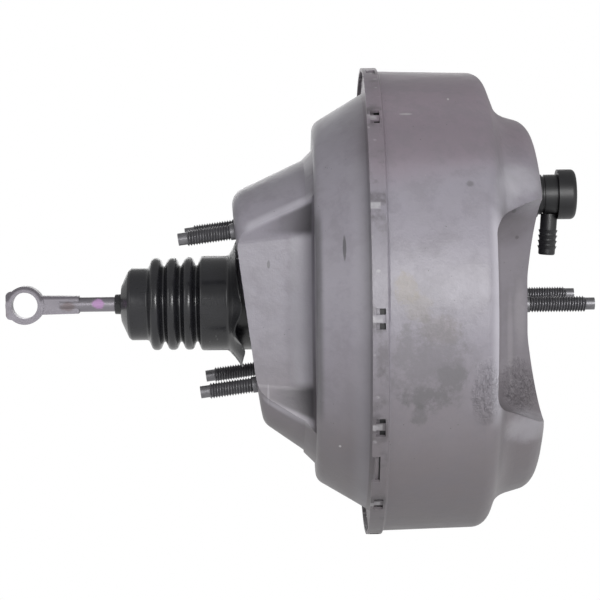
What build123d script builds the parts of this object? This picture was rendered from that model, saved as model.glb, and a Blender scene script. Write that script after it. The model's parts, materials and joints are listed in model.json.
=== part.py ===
from build123d import *
import os
from math import atan2, cos, radians, sin, tan

os.makedirs("parts", exist_ok=True)

# A single-diaphragm vacuum brake booster, in millimetres. X runs along its axis: +X is the side
# of the master cylinder, -X the side of the brake pedal. The origin is the centre of the land
# on the front shell that the master cylinder bolts to. +Z is up.

# ---------------------------------------------------------------- driving sizes
wall = 1.8                      # pressed sheet of both shells
through = 3.6                   # how far a cut runs past the sheet it opens
fit = 0.05                      # radial play of a running fit
clear = 0.3                     # air beside a soft or moving piece

# Front shell: drum, skirt and front face
drum_radius = 137.7             # at the skirt
drum_taper = 1.6                # radius lost from the skirt to the front corner
drum_length = 60.0              # from the skirt's step to the corner
skirt_proud = 2.1               # skirt above the drum
skirt_length = 9.0
skirt_round = 1.0               # of the step between the drum and the skirt
corner_round = 10.0
annulus_drop = 15.0             # foot of the lobes, behind the land
annulus_slope = 8.5             # fall of the face from that foot to the drum's corner
annulus_width = 22.7            # foot of the lobes to the drum's corner
lobe_lowering = 3.0             # centre of the lobes, below the booster's axis
lobe_angle = 16.0               # draft of the lobes' side
lobe_draft = 6.5                # radius lost from the lobes' foot to their edge
lobe_rise = 7.0                 # crown of the lobes, ahead of the land
lobe_foot_round = 14.0
lobe_edge_round = 12.0
land_half_height = 18.0         # flat of the land, up and down from the axis
lobe_crown_height = 70.0        # where the saddle reaches the crown
saddle_round = 60.0
saddle_runout = 0.6             # rise of the saddle's arms, clear of the crown
pocket_depth = 24.0             # side pocket's floor, behind the land
pocket_half_height = 52.0
waist_half_width = 70.0         # at the pocket's floor
pocket_draft = 22.0
pocket_corner_round = 24.0
pocket_floor_round = 12.0

# Crimp: lances round the skirt, and one assembly notch
lance_count = 14
lance_slit_width = 3.4
lance_slit_length = 5.2
lance_bar_width = 4.6
lance_dent = 0.8
notch_angle = 218.0             # from +Y towards +Z
notch_width = 20.0
notch_depth = 4.6

# Front cup for the nose of the master cylinder, and its seal
cup_radius = 16.0
cup_depth = 19.0
front_seal_length = 7.0

# Rear shell: stepped cone, nose and tilted face
cone_length = 33.6              # rim to step
cone_angle = 30.8               # of the cone's side, from the axis
crimp_ledge = 10.8              # crimp flange, outside the cone's rim
step_round = 7.0
step_ledge = 15.9               # flat of the step, round the nose
nose_length = 39.7              # step to the mounting face, on the axis
nose_base_flat = 2.8            # half of the straight sides at the nose's base
nose_base_drop = 2.8
nose_root_width = 3.5           # bevel where the nose meets the step
nose_tip_half_width = 64.0
nose_tip_half_height = 67.9
nose_tip_corner = 36.0
nose_tip_drop = 1.7
nose_tip_round = 9.0
face_tilt = 7.5                 # degrees, the top leans towards the pedal
side_floor_at_step = 58.5       # side pocket of the nose, from the axis
side_floor_at_face = 61.0
side_half_height_step = 45.0
side_half_height_face = 41.0
side_lowering = 2.0             # middle of the side pocket, below the booster's axis
side_draft = 72.0
side_floor_round = 7.0
flange_gap = 0.5                # crimp flange, inside the skirt
hub_length = 14.0               # hub collar, behind the face on the axis
hub_seal_length = 8.0
hub_bearing_length = 6.0

# Studs and the plates behind them
firewall_spacing = 90.0           # square of four
firewall_stud_reach = 33.5
master_stud_spacing = 85.7
master_stud_reach = 41.0
stud_radius = 4.76
stud_neck_radius = 5.2          # where it passes the plate and the shell
stud_dog_length = 5.5
stud_dog_radius = 3.6
stud_hole_play = 0.15
stud_head_radius = 6.5
stud_head_height = 3.5
plate_thickness = 2.6
rear_plate_half_width = 53.5
rear_plate_half_height = 55.0
rear_plate_corner = 20.0
front_plate_half_width = 53.5
front_plate_half_height = 36.0
front_plate_corner = 14.0

# Power piston
stroke = 38.0
neck_spare = 3.7                # neck left outside the hub collar at full stroke
valve_lead = 1.5                # the rod leads the piston by this much
neck_radius = 19.0
neck_bore = 15.6
hub_behind_land = 119.5         # rear face of the hub's flange
hub_flange_radius = 44.0
hub_flange_thickness = 6.0
boss_radius = 25.5
boss_length = 22.0
chamber_length = 73.0           # rear bore, from the neck's end to the vacuum seat
seat_bore = 10.2
plunger_radius = 7.5
stop_play = 0.2
reaction_radius = 13.0
reaction_thickness = 7.0
output_head_thickness = 5.0
output_retainer_thickness = 2.0
vacuum_passage_radius = 2.2
vacuum_passage_offset = 16.4

# Diaphragm and its plate
rubber = 1.6
bead_thickness = 3.0
bead_height = 6.0
plate_sheet = 1.8
plate_rim_slope = 18.0          # the plate's flat to its rim
plate_rim_rise = 14.0
plate_lip = 5.0
plate_round = 5.0
fold_width = 21.5               # the rolling fold, from the plate's rim to the bead
fold_reach = 12.0               # and ahead of the bead

# Output rod and its adjusting screw
output_rod_radius = 4.75
output_tip_behind_land = 8.0
screw_shank_radius = 2.9
screw_engaged = 11.0            # thread still in the rod, wound right out
screw_travel = 4.0
screw_head_length = 6.0

# Valve plunger, key and poppet
valve_gap = 1.0                 # poppet to the vacuum seat, brake released
ball_radius = 5.0
ball_depth = 8.0                # in the plunger
ball_mouth = 4.3
plunger_seat_radius = 9.5
plunger_seat_thickness = 3.6
plunger_nose_radius = 5.0
plunger_nose_length = 4.2
key_behind_hub = 6.5
key_thickness = 2.6
key_width = 16.0
key_reach = 22.0
groove_radius = 5.0
poppet_radius = 13.2
poppet_bore = 6.4
poppet_face_thickness = 3.6
poppet_skirt_length = 11.4
poppet_collar_length = 3.0
poppet_spring_radius = 10.0
poppet_spring_wire = 0.5
poppet_spring_turns = 5
retainer_length = 10.0
retainer_bore = 6.6
retainer_web = 2.0
rod_spring_radius = 7.6
rod_spring_wire = 0.7
rod_spring_turns = 6
rod_collar_radius = 9.0
rod_collar_thickness = 1.6
rod_collar_behind_retainer = 24.4
silencer_length = 3.0
filter_length = 19.0
filter_bore = 9.2
filter_inset = 2.0

# Input rod, outside and inside the boot
rod_radius = 4.4
rod_neck_radius = 3.0
rod_neck_length = 24.0
eye_behind_land = 295.8
eye_radius = 11.5
eye_bore = 7.85
eye_thickness = 9.0
eye_end_length = 11.3           # squared end, from the eye's centre
eye_end_width = 17.0
eye_end_round = 3.0
bar_height = 11.6
bar_height_small = 10.4
bar_thickness = 7.6
bar_length = 32.5               # eye's centre to the round rod

# Boot, from the rod to the rear shell
boot_wall = 1.4
boot_neck_radius = 6.05
boot_neck_length = 7.5
boot_length = 70.7              # rod end to the sleeve's flare
boot_first_radius = 21.8
boot_first_start = 10.6         # from the rod end
boot_first_end = 21.5
boot_fold_count = 3
boot_fold_spacing = 9.85
boot_first_peak = 26.0
boot_peak_radius = 28.2
boot_valley_radius = 23.2
boot_sleeve_radius = 28.5
boot_sleeve_start = 52.9
boot_flare_radius = 38.5
boot_flare_rise = 2.6
boot_over_hub = 4.6             # hub collar left bare inside the boot's sleeve
boot_fold_round = 1.7

# Return spring of the power piston
return_spring_radius = 29.5
return_spring_wire = 1.9
return_spring_turns = 6
spring_sides = 6                # flats round a spring's wire

# Check valve in the upper lobe
valve_height = 63.0             # its axis, above the booster's
valve_pad_radius = 15.0
valve_pad_rise = 2.5            # above the lobe's crown
valve_hole_radius = 9.0
grommet_radius = 13.5
grommet_flange = 3.4
grommet_lip = 2.5
grommet_lip_radius = 11.0
spigot_radius = 6.5
spigot_bore = 4.0
valve_radius = 12.0
valve_length = 12.0
valve_wall = 2.0
valve_cap_radius = 15.0
valve_cap_length = 10.8
valve_cap_round = 3.0
nipple_radius = 5.0
nipple_bore = 2.6
nipple_reach = 36.5             # from the valve's axis
nipple_lean = 4.0               # degrees
nipple_from_body = 8.3          # its axis, from the body's rear
barb_radius = 5.8
barb_count = 4
barb_spacing = 3.2
barb_ramp = 2.2                 # length of a barb's slope
barb_inset = 3.0                # last barb, from the nipple's end
disc_radius = 7.0
disc_thickness = 1.6
disc_spring_radius = 4.5
disc_spring_wire = 0.4
disc_spring_turns = 4

# ---------------------------------------------------------------- places along X
land_x = 0.0
crown_x = land_x + lobe_rise
pad_x = crown_x + valve_pad_rise
foot_x = land_x - annulus_drop
corner_x = foot_x - annulus_slope
drum_back_x = corner_x - drum_length
skirt_radius = drum_radius + skirt_proud
skirt_back_x = drum_back_x - skirt_length
bead_seat_x = drum_back_x - wall
lobe_foot_radius = drum_radius - annulus_width
lobe_edge_radius = lobe_foot_radius - lobe_draft
hidden_radius = lobe_edge_radius - lobe_edge_round - lobe_lowering
hidden_x = foot_x + annulus_slope * (lobe_foot_radius - hidden_radius) / annulus_width
rim_x = bead_seat_x - bead_thickness - clear
step_x = rim_x - cone_length
face_x = step_x - nose_length
flange_radius = skirt_radius - wall - flange_gap
rim_radius = flange_radius - crimp_ledge
step_radius = rim_radius - cone_length * tan(radians(cone_angle))
nose_base_radius = step_radius - step_ledge
bead_radius = flange_radius - bead_height
plate_rim_radius = bead_radius - fold_width
plate_flat_radius = plate_rim_radius - plate_rim_slope
hub_radius = boot_sleeve_radius - boot_wall - clear
hub_end_x = face_x - hub_length

lean = radians(face_tilt)
mount_face = Plane(origin=(face_x, 0, 0), x_dir=(0, 1, 0), z_dir=(-cos(lean), 0, -sin(lean)))
land_face = Plane.YZ.offset(land_x)
firewall_places = [
    (side * firewall_spacing / 2, end * firewall_spacing / 2) for side in (-1, 1) for end in (-1, 1)
]
master_places = [(side * master_stud_spacing / 2, 0) for side in (-1, 1)]
stud_hole = stud_neck_radius + stud_hole_play

hub_back_x = land_x - hub_behind_land
hub_front_x = hub_back_x + hub_flange_thickness
boss_front_x = hub_front_x + boss_length
neck_end_x = hub_end_x - stroke - neck_spare
vacuum_seat_x = neck_end_x + chamber_length
cavity_x = boss_front_x - output_retainer_thickness - output_head_thickness - reaction_thickness
plunger_front_x = cavity_x - valve_lead - fit
plunger_shoulder_x = plunger_front_x - plunger_nose_length
plunger_bore_end_x = plunger_shoulder_x + valve_lead + stop_play
poppet_front_x = vacuum_seat_x - valve_gap
plunger_back_x = poppet_front_x + 2 * fit
seat_bore_end_x = plunger_back_x + plunger_seat_thickness + valve_lead + stop_play
ball_x = plunger_back_x + ball_depth
key_back_x = hub_back_x - key_behind_hub
key_front_x = key_back_x + key_thickness
poppet_rear_x = poppet_front_x - poppet_face_thickness - poppet_skirt_length - poppet_collar_length
retainer_rear_x = poppet_rear_x - retainer_length
rod_collar_x = poppet_rear_x - retainer_web - rod_collar_behind_retainer
plate_back_x = hub_front_x + rubber + clear
eye_x = land_x - eye_behind_land
boot_end_x = hub_end_x + boot_over_hub - boot_length


# ---------------------------------------------------------------- helpers
def ring(back_x, front_x, inner_radius, outer_radius):
    """A plain ring about the booster's axis."""
    with BuildPart() as part:
        with BuildSketch(Plane.YZ.offset(back_x)):
            Circle(outer_radius)
            Circle(inner_radius, mode=Mode.SUBTRACT)
        extrude(amount=front_x - back_x)
    return part.part


def rod(back_x, front_x, radius, height=0):
    """A plain round bar along X, at a height above the booster's axis."""
    with BuildPart() as part:
        with BuildSketch(Plane.YZ.offset(back_x)):
            with Locations((0, height)):
                Circle(radius)
        extrude(amount=front_x - back_x)
    return part.part


def strip(points, rounds, thickness):
    """A sheet of even thickness turned about the booster's axis, inside its line."""
    with BuildPart() as part:
        with BuildSketch(Plane.XZ):
            with BuildLine():
                FilletPolyline(*points, radius=rounds)
                offset(amount=thickness, side=Side.RIGHT)
            make_face()
        revolve(axis=Axis.X)
    return part.part


def coil(back_x, front_x, height, mean_radius, wire_radius, turns):
    """A round-wire spring about an axis along X, between two seats."""
    length = front_x - back_x - 2 * wire_radius
    with BuildPart() as part:
        with BuildLine() as line:
            Helix(
                pitch=length / turns,
                height=length,
                radius=mean_radius,
                center=(back_x + wire_radius, 0, height),
                direction=(1, 0, 0),
            )
        with BuildSketch(Plane(origin=line.line @ 0, z_dir=line.line % 0)):
            RegularPolygon(wire_radius, spring_sides)
        sweep(path=line.line, is_frenet=True)
    return part.part


def studs(seat, places, reach):
    """Headed studs through a plate and a shell wall, standing out of the seat."""
    under = wall + plate_thickness
    with BuildPart() as part:
        with BuildSketch(seat.offset(-under - stud_head_height)):
            with Locations(*places):
                Circle(stud_head_radius)
        extrude(amount=stud_head_height)
        with BuildSketch(seat.offset(-under)):
            with Locations(*places):
                Circle(stud_neck_radius)
        extrude(amount=under)
        with BuildSketch(seat):
            with Locations(*places):
                Circle(stud_radius)
        extrude(amount=reach - stud_dog_length)
        with BuildSketch(seat.offset(reach - stud_dog_length)):
            with Locations(*places):
                Circle(stud_dog_radius)
        extrude(amount=stud_dog_length)
    return part.part


def front_form(inset):
    """The solid inside the front shell's skin, with the skin moved in by inset."""
    top = crown_x + lobe_rise
    drum = [
        (skirt_back_x, 0),
        (skirt_back_x, skirt_radius - inset),
        (drum_back_x - inset, skirt_radius - inset),
        (drum_back_x - inset, drum_radius - inset),
        (corner_x - inset, drum_radius - drum_taper - inset),
        (hidden_x - inset, hidden_radius - inset),
        (hidden_x - inset, 0),
    ]
    lobes = [
        (corner_x, 0),
        (corner_x, lobe_edge_radius + (crown_x - corner_x) * tan(radians(lobe_angle)) - inset),
        (crown_x - inset, lobe_edge_radius - inset),
        (crown_x - inset, 0),
    ]
    runout = crown_x + saddle_runout - inset
    saddle = [
        (runout, -drum_radius),
        (crown_x - inset, -lobe_crown_height),
        (land_x - inset, -land_half_height),
        (land_x - inset, land_half_height),
        (crown_x - inset, lobe_crown_height),
        (runout, drum_radius),
        (top, drum_radius),
        (top, -drum_radius),
    ]
    with BuildPart() as pocket:
        with BuildSketch(Plane.YZ.offset(land_x - pocket_depth - inset)):
            with Locations((waist_half_width - inset, 0)):
                Rectangle(
                    drum_radius,
                    2 * (pocket_half_height + inset),
                    align=(Align.MIN, Align.CENTER),
                )
            fillet(vertices(), radius=pocket_corner_round + inset)
        extrude(amount=2 * pocket_depth, taper=-pocket_draft)
        fillet(faces().sort_by(Axis.X)[0].edges(), radius=pocket_floor_round + inset)
        mirror(about=Plane.XZ)
    with BuildPart() as form:
        with BuildSketch(Plane.XZ):
            with BuildLine():
                FilletPolyline(*drum, radius=[0, 0, 0, corner_round - inset, 0])
                Line(drum[-1], drum[0])
            make_face()
        revolve(axis=Axis.X)
        with BuildSketch(Plane(origin=(0, 0, -lobe_lowering), x_dir=(1, 0, 0), z_dir=(0, -1, 0))):
            with BuildLine():
                FilletPolyline(*lobes, radius=[0, lobe_edge_round - inset])
                Line(lobes[-1], lobes[0])
            make_face()
        revolve(axis=Axis((0, 0, -lobe_lowering), (1, 0, 0)))
        foot = edges().filter_by(GeomType.BSPLINE)
        fillet(foot, radius=lobe_foot_round + inset)
        with BuildSketch(Plane.XZ):
            with BuildLine():
                FilletPolyline(*saddle, radius=[saddle_round] * 4 + [0, 0])
                Line(saddle[-1], saddle[0])
            make_face()
        extrude(amount=drum_radius, both=True, mode=Mode.SUBTRACT)
        add(pocket.part, mode=Mode.SUBTRACT)
        with BuildSketch(Plane.YZ.offset(pad_x - inset)):
            with Locations((0, valve_height)):
                Circle(valve_pad_radius - inset)
        extrude(amount=land_x - pad_x)
    return form.part


def rear_form(inset):
    """The solid inside the rear shell's skin, with the skin moved in by inset."""
    step_in = step_x + inset
    side_lean = atan2(side_floor_at_step - side_floor_at_face, nose_length)
    side_floor = Plane(
        origin=(step_x, side_floor_at_step - inset, -side_lowering),
        x_dir=(-cos(side_lean), -sin(side_lean), 0),
        z_dir=(-sin(side_lean), cos(side_lean), 0),
    )
    narrowing = (side_half_height_step - side_half_height_face) / nose_length
    near, far = -nose_length, 2 * nose_length
    near_half = side_half_height_step - narrowing * near + inset
    far_half = side_half_height_step - narrowing * far + inset
    with BuildPart() as side:
        with BuildSketch(side_floor):
            with BuildLine():
                Polyline(
                    (near, near_half), (far, far_half), (far, -far_half), (near, -near_half),
                    close=True,
                )
            make_face()
        extrude(amount=nose_base_radius, taper=-side_draft)
        fillet(faces().sort_by(Axis.Y)[0].edges(), radius=side_floor_round + inset)
        mirror(about=Plane.XZ)
    with BuildPart() as nose:
        with BuildSketch(Plane.YZ.offset(step_in)):
            with Locations((0, -nose_base_drop)):
                RectangleRounded(
                    2 * (nose_base_radius - inset),
                    2 * (nose_base_radius - inset),
                    nose_base_radius - nose_base_flat - inset,
                )
        with BuildSketch(mount_face.offset(-inset)):
            with Locations((0, nose_tip_drop)):
                RectangleRounded(
                    2 * (nose_tip_half_width - inset),
                    2 * (nose_tip_half_height - inset),
                    nose_tip_corner - inset,
                )
        loft(ruled=True)
        fillet(faces().sort_by(Axis.X)[0].edges(), radius=nose_tip_round - inset)
        # The bevel at its root
        for rise, spread in ((0, nose_root_width), (2 * nose_root_width, -nose_root_width)):
            root_radius = nose_base_radius + spread - inset
            with BuildSketch(Plane.YZ.offset(step_in - rise)):
                with Locations((0, -nose_base_drop)):
                    RectangleRounded(2 * root_radius, 2 * root_radius, root_radius - nose_base_flat)
        loft()
        add(side.part, mode=Mode.SUBTRACT)
    skin = [
        (rim_x, 0),
        (rim_x, rim_radius - inset),
        (step_in, step_radius - inset),
        (step_in, 0),
    ]
    with BuildPart() as form:
        with BuildSketch(Plane.XZ):
            with BuildLine():
                FilletPolyline(*skin, radius=[0, step_round - inset])
                Line(skin[-1], skin[0])
            make_face()
        revolve(axis=Axis.X)
        add(nose.part)
    return form.part


# ---------------------------------------------------------------- shells
cup_back_x = land_x - cup_depth
cup_lip_radius = output_rod_radius + 2 * wall
lance_turn = 360 / lance_count
lance_offset = (lance_bar_width + lance_slit_width) / 2
lance_x = skirt_back_x + (skirt_length - lance_slit_length) / 2

with BuildPart() as front_shell:
    add(front_form(0))
    skirt_step = edges().filter_by_position(Axis.X, drum_back_x - fit, drum_back_x + fit)
    fillet(skirt_step, radius=skirt_round)
    add(front_form(wall), mode=Mode.SUBTRACT)
    # Cup for the master cylinder's nose, drawn in behind the land
    add(rod(land_x - through, land_x + through, cup_radius), mode=Mode.SUBTRACT)
    add(ring(cup_back_x, land_x, cup_radius, cup_radius + wall))
    add(ring(cup_back_x, cup_back_x + wall, cup_lip_radius, cup_radius + wall))
    with BuildSketch(land_face):
        with Locations(*master_places):
            Circle(stud_hole)
    extrude(amount=-through, mode=Mode.SUBTRACT)
    add(
        rod(pad_x - through, pad_x + through, valve_hole_radius, valve_height),
        mode=Mode.SUBTRACT,
    )
    # Lances: two slits with a dented bar between them, and one place left plain
    for half_width, half_depth, offsets in (
        (lance_slit_width / 2, through, (-lance_offset, lance_offset)),
        (lance_bar_width / 2, lance_dent, (0,)),
    ):
        with BuildSketch(Plane.YZ.offset(lance_x)):
            with PolarLocations(
                skirt_radius, lance_count - 1, start_angle=180, angular_range=360 - lance_turn
            ):
                with Locations(*[(0, offset_y) for offset_y in offsets]):
                    Rectangle(2 * half_depth, 2 * half_width)
        extrude(amount=lance_slit_length, mode=Mode.SUBTRACT)
    # Assembly notch in the skirt's edge
    with BuildSketch(Plane.YZ.offset(skirt_back_x)):
        with PolarLocations(skirt_radius, 1, start_angle=notch_angle):
            Rectangle(2 * through, notch_width)
    extrude(amount=notch_depth, mode=Mode.SUBTRACT)
front_shell.part.label = "front_shell"
export_step(front_shell.part, "parts/front_shell.step")

hub_root_x = face_x + hub_radius * tan(lean) + wall
with BuildPart() as rear_shell:
    add(rear_form(0))
    add(rear_form(wall), mode=Mode.SUBTRACT)
    # Crimp flange, and the collar that carries the seal and the boot
    add(ring(rim_x - wall, rim_x, rim_radius - 2 * wall, flange_radius))
    add(rod(hub_end_x, hub_root_x, hub_radius))
    add(rod(hub_end_x + wall, hub_root_x, hub_radius - wall), mode=Mode.SUBTRACT)
    add(rod(hub_end_x, hub_root_x, neck_radius + 2 * clear), mode=Mode.SUBTRACT)
    with BuildSketch(mount_face):
        with Locations(*firewall_places):
            Circle(stud_hole)
    extrude(amount=through, both=True, mode=Mode.SUBTRACT)
rear_shell.part.label = "rear_shell"
export_step(rear_shell.part, "parts/rear_shell.step")

# ---------------------------------------------------------------- studs and their plates
with BuildPart() as firewall_studs:
    add(studs(mount_face, firewall_places, firewall_stud_reach))
firewall_studs.part.label = "firewall_studs"
export_step(firewall_studs.part, "parts/firewall_studs.step")

with BuildPart() as master_cylinder_studs:
    add(studs(land_face, master_places, master_stud_reach))
master_cylinder_studs.part.label = "master_cylinder_studs"
export_step(master_cylinder_studs.part, "parts/master_cylinder_studs.step")

with BuildPart() as rear_stud_plate:
    with BuildSketch(mount_face.offset(-wall)):
        RectangleRounded(2 * rear_plate_half_width, 2 * rear_plate_half_height, rear_plate_corner)
        Circle(hub_radius + 2 * wall, mode=Mode.SUBTRACT)
        with Locations(*firewall_places):
            Circle(stud_hole, mode=Mode.SUBTRACT)
    extrude(amount=-plate_thickness)
rear_stud_plate.part.label = "rear_stud_plate"
export_step(rear_stud_plate.part, "parts/rear_stud_plate.step")

with BuildPart() as front_stud_plate:
    with BuildSketch(land_face.offset(-wall)):
        RectangleRounded(2 * front_plate_half_width, 2 * front_plate_half_height, front_plate_corner)
        Circle(cup_radius + wall + clear, mode=Mode.SUBTRACT)
        with Locations(*master_places):
            Circle(stud_hole, mode=Mode.SUBTRACT)
    extrude(amount=-plate_thickness)
front_stud_plate.part.label = "front_stud_plate"
export_step(front_stud_plate.part, "parts/front_stud_plate.step")

# ---------------------------------------------------------------- seals and bearing
seal_back_x = hub_end_x + wall
seal_front_x = seal_back_x + hub_seal_length
seal_outer = hub_radius - wall - fit
with BuildPart() as rear_seal:
    add(ring(seal_back_x, seal_front_x, neck_radius + fit, seal_outer))
rear_seal.part.label = "rear_seal"
export_step(rear_seal.part, "parts/rear_seal.step")

with BuildPart() as rear_bearing:
    add(ring(seal_front_x, seal_front_x + hub_bearing_length, neck_radius + fit, seal_outer))
rear_bearing.part.label = "rear_bearing"
export_step(rear_bearing.part, "parts/rear_bearing.step")

front_seal_x = cup_back_x + wall
with BuildPart() as front_seal:
    add(ring(front_seal_x, front_seal_x + front_seal_length, output_rod_radius + fit, cup_radius - fit))
front_seal.part.label = "front_seal"
export_step(front_seal.part, "parts/front_seal.step")

# ---------------------------------------------------------------- power piston
with BuildPart() as valve_body:
    add(rod(neck_end_x, hub_back_x, neck_radius))
    add(rod(hub_back_x, hub_front_x, hub_flange_radius))
    add(rod(hub_front_x, boss_front_x, boss_radius))
    add(rod(neck_end_x, vacuum_seat_x, neck_bore), mode=Mode.SUBTRACT)
    add(rod(vacuum_seat_x, seat_bore_end_x, seat_bore), mode=Mode.SUBTRACT)
    add(rod(seat_bore_end_x, plunger_bore_end_x, plunger_radius + fit), mode=Mode.SUBTRACT)
    add(rod(plunger_bore_end_x, cavity_x, plunger_nose_radius + clear), mode=Mode.SUBTRACT)
    add(rod(cavity_x, boss_front_x, reaction_radius + fit), mode=Mode.SUBTRACT)
    # Two vacuum passages, and the slot for the key
    with BuildSketch(Plane.YZ.offset(vacuum_seat_x)):
        with Locations((0, vacuum_passage_offset), (0, -vacuum_passage_offset)):
            Circle(vacuum_passage_radius)
    extrude(amount=boss_front_x - vacuum_seat_x, mode=Mode.SUBTRACT)
    with BuildSketch(Plane.YZ.offset(key_back_x - fit)):
        Rectangle(4 * neck_radius, key_width + 2 * fit)
    extrude(amount=key_thickness + 2 * fit, mode=Mode.SUBTRACT)
valve_body.part.label = "valve_body"
export_step(valve_body.part, "parts/valve_body.step")

with BuildPart() as reaction_disc:
    add(rod(cavity_x + fit, cavity_x + reaction_thickness, reaction_radius - fit))
reaction_disc.part.label = "reaction_disc"
export_step(reaction_disc.part, "parts/reaction_disc.step")

output_head_x = cavity_x + reaction_thickness
output_tip_x = land_x - output_tip_behind_land
screw_back_x = output_tip_x - screw_engaged - screw_travel
with BuildPart() as output_rod:
    add(rod(output_head_x, output_head_x + output_head_thickness, reaction_radius - fit))
    add(rod(output_head_x, output_tip_x, output_rod_radius))
    add(
        rod(screw_back_x - fit, output_tip_x, screw_shank_radius + fit),
        mode=Mode.SUBTRACT,
    )
output_rod.part.label = "output_rod"
export_step(output_rod.part, "parts/output_rod.step")

with BuildPart() as output_rod_retainer:
    add(
        ring(
            boss_front_x - output_retainer_thickness,
            boss_front_x,
            output_rod_radius + clear,
            reaction_radius - fit,
        )
    )
output_rod_retainer.part.label = "output_rod_retainer"
export_step(output_rod_retainer.part, "parts/output_rod_retainer.step")

with BuildPart() as output_rod_screw:
    add(rod(screw_back_x, output_tip_x + fit, screw_shank_radius))
    add(rod(output_tip_x + fit, output_tip_x + screw_head_length, output_rod_radius - fit))
    fillet(edges().sort_by(Axis.X)[-1], radius=output_rod_radius / 2)
output_rod_screw.part.label = "output_rod_screw"
export_step(output_rod_screw.part, "parts/output_rod_screw.step")

with BuildPart() as diaphragm_plate:
    add(
        strip(
            [
                (plate_back_x, boss_radius + fit),
                (plate_back_x, plate_flat_radius),
                (plate_back_x + plate_rim_rise, plate_rim_radius),
                (plate_back_x + plate_rim_rise + plate_lip, plate_rim_radius),
            ],
            plate_round,
            plate_sheet,
        )
    )
diaphragm_plate.part.label = "diaphragm_plate"
export_step(diaphragm_plate.part, "parts/diaphragm_plate.step")

bead_x = rim_x + clear / 2
plate_outer = plate_rim_radius + clear
with BuildPart() as diaphragm:
    add(ring(bead_x, bead_x + bead_thickness, bead_radius, flange_radius - clear))
    add(
        strip(
            [
                (hub_front_x + clear / 2, boss_radius + clear),
                (hub_front_x + clear / 2, plate_flat_radius + rubber),
                (hub_front_x + clear / 2 + plate_rim_rise, plate_outer + rubber),
                (bead_x + bead_thickness, plate_outer + rubber),
                (bead_x + fold_reach, (plate_outer + bead_radius) / 2 + rubber),
                (bead_x + bead_thickness / 2, bead_radius + clear),
            ],
            2 * rubber,
            rubber,
        )
    )
diaphragm.part.label = "diaphragm"
export_step(diaphragm.part, "parts/diaphragm.step")

with BuildPart() as return_spring:
    add(
        coil(
            plate_back_x + plate_sheet + clear / 2,
            land_x - wall - plate_thickness - clear / 2,
            0,
            return_spring_radius,
            return_spring_wire,
            return_spring_turns,
        )
    )
return_spring.part.label = "return_spring"
export_step(return_spring.part, "parts/return_spring.step")

# ---------------------------------------------------------------- control valve
with BuildPart() as valve_plunger:
    add(rod(plunger_back_x, plunger_back_x + plunger_seat_thickness, plunger_seat_radius))
    add(rod(plunger_back_x, plunger_shoulder_x, plunger_radius))
    add(rod(plunger_shoulder_x, plunger_front_x, plunger_nose_radius))
    add(
        ring(
            key_back_x - valve_lead - stop_play,
            key_front_x + stop_play,
            groove_radius,
            2 * plunger_radius,
        ),
        mode=Mode.SUBTRACT,
    )
    with Locations((ball_x, 0, 0)):
        Sphere(ball_radius + fit, mode=Mode.SUBTRACT)
    add(rod(plunger_back_x, ball_x, ball_mouth), mode=Mode.SUBTRACT)
valve_plunger.part.label = "valve_plunger"
export_step(valve_plunger.part, "parts/valve_plunger.step")

with BuildPart() as valve_key:
    with BuildSketch(Plane.YZ.offset(key_back_x)):
        Rectangle(2 * key_reach, key_width)
        with Locations((-key_reach, 0)):
            Rectangle(
                key_reach,
                2 * (groove_radius + fit),
                align=(Align.MIN, Align.CENTER),
                mode=Mode.SUBTRACT,
            )
        Circle(groove_radius + fit, mode=Mode.SUBTRACT)
    extrude(amount=key_thickness)
valve_key.part.label = "valve_key"
export_step(valve_key.part, "parts/valve_key.step")

poppet_skirt_x = poppet_front_x - poppet_face_thickness - poppet_skirt_length
with BuildPart() as poppet_valve:
    add(ring(poppet_front_x - poppet_face_thickness, poppet_front_x, poppet_bore, poppet_radius))
    add(ring(poppet_skirt_x, poppet_front_x - poppet_face_thickness, poppet_radius - rubber, poppet_radius))
    add(ring(poppet_rear_x, poppet_skirt_x, poppet_radius - rubber, neck_bore - fit))
poppet_valve.part.label = "poppet_valve"
export_step(poppet_valve.part, "parts/poppet_valve.step")

with BuildPart() as poppet_retainer:
    add(ring(poppet_rear_x - retainer_web, poppet_rear_x, retainer_bore, neck_bore - fit))
    add(ring(retainer_rear_x, poppet_rear_x, neck_bore - wall, neck_bore - fit))
poppet_retainer.part.label = "poppet_retainer"
export_step(poppet_retainer.part, "parts/poppet_retainer.step")

with BuildPart() as poppet_spring:
    add(
        coil(
            poppet_rear_x + clear / 2,
            poppet_front_x - poppet_face_thickness - clear / 2,
            0,
            poppet_spring_radius,
            poppet_spring_wire,
            poppet_spring_turns,
        )
    )
poppet_spring.part.label = "poppet_spring"
export_step(poppet_spring.part, "parts/poppet_spring.step")

with BuildPart() as rod_return_spring:
    add(
        coil(
            rod_collar_x + rod_collar_thickness + clear / 2,
            poppet_rear_x - retainer_web - clear / 2,
            0,
            rod_spring_radius,
            rod_spring_wire,
            rod_spring_turns,
        )
    )
rod_return_spring.part.label = "rod_return_spring"
export_step(rod_return_spring.part, "parts/rod_return_spring.step")

filter_rear_x = neck_end_x + filter_inset
with BuildPart() as air_filter:
    add(ring(filter_rear_x, filter_rear_x + filter_length, filter_bore, neck_bore - fit))
air_filter.part.label = "air_filter"
export_step(air_filter.part, "parts/air_filter.step")

with BuildPart() as air_silencer:
    add(
        ring(
            filter_rear_x + filter_length,
            filter_rear_x + filter_length + silencer_length,
            filter_bore,
            neck_bore - fit,
        )
    )
air_silencer.part.label = "air_silencer"
export_step(air_silencer.part, "parts/air_silencer.step")

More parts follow.
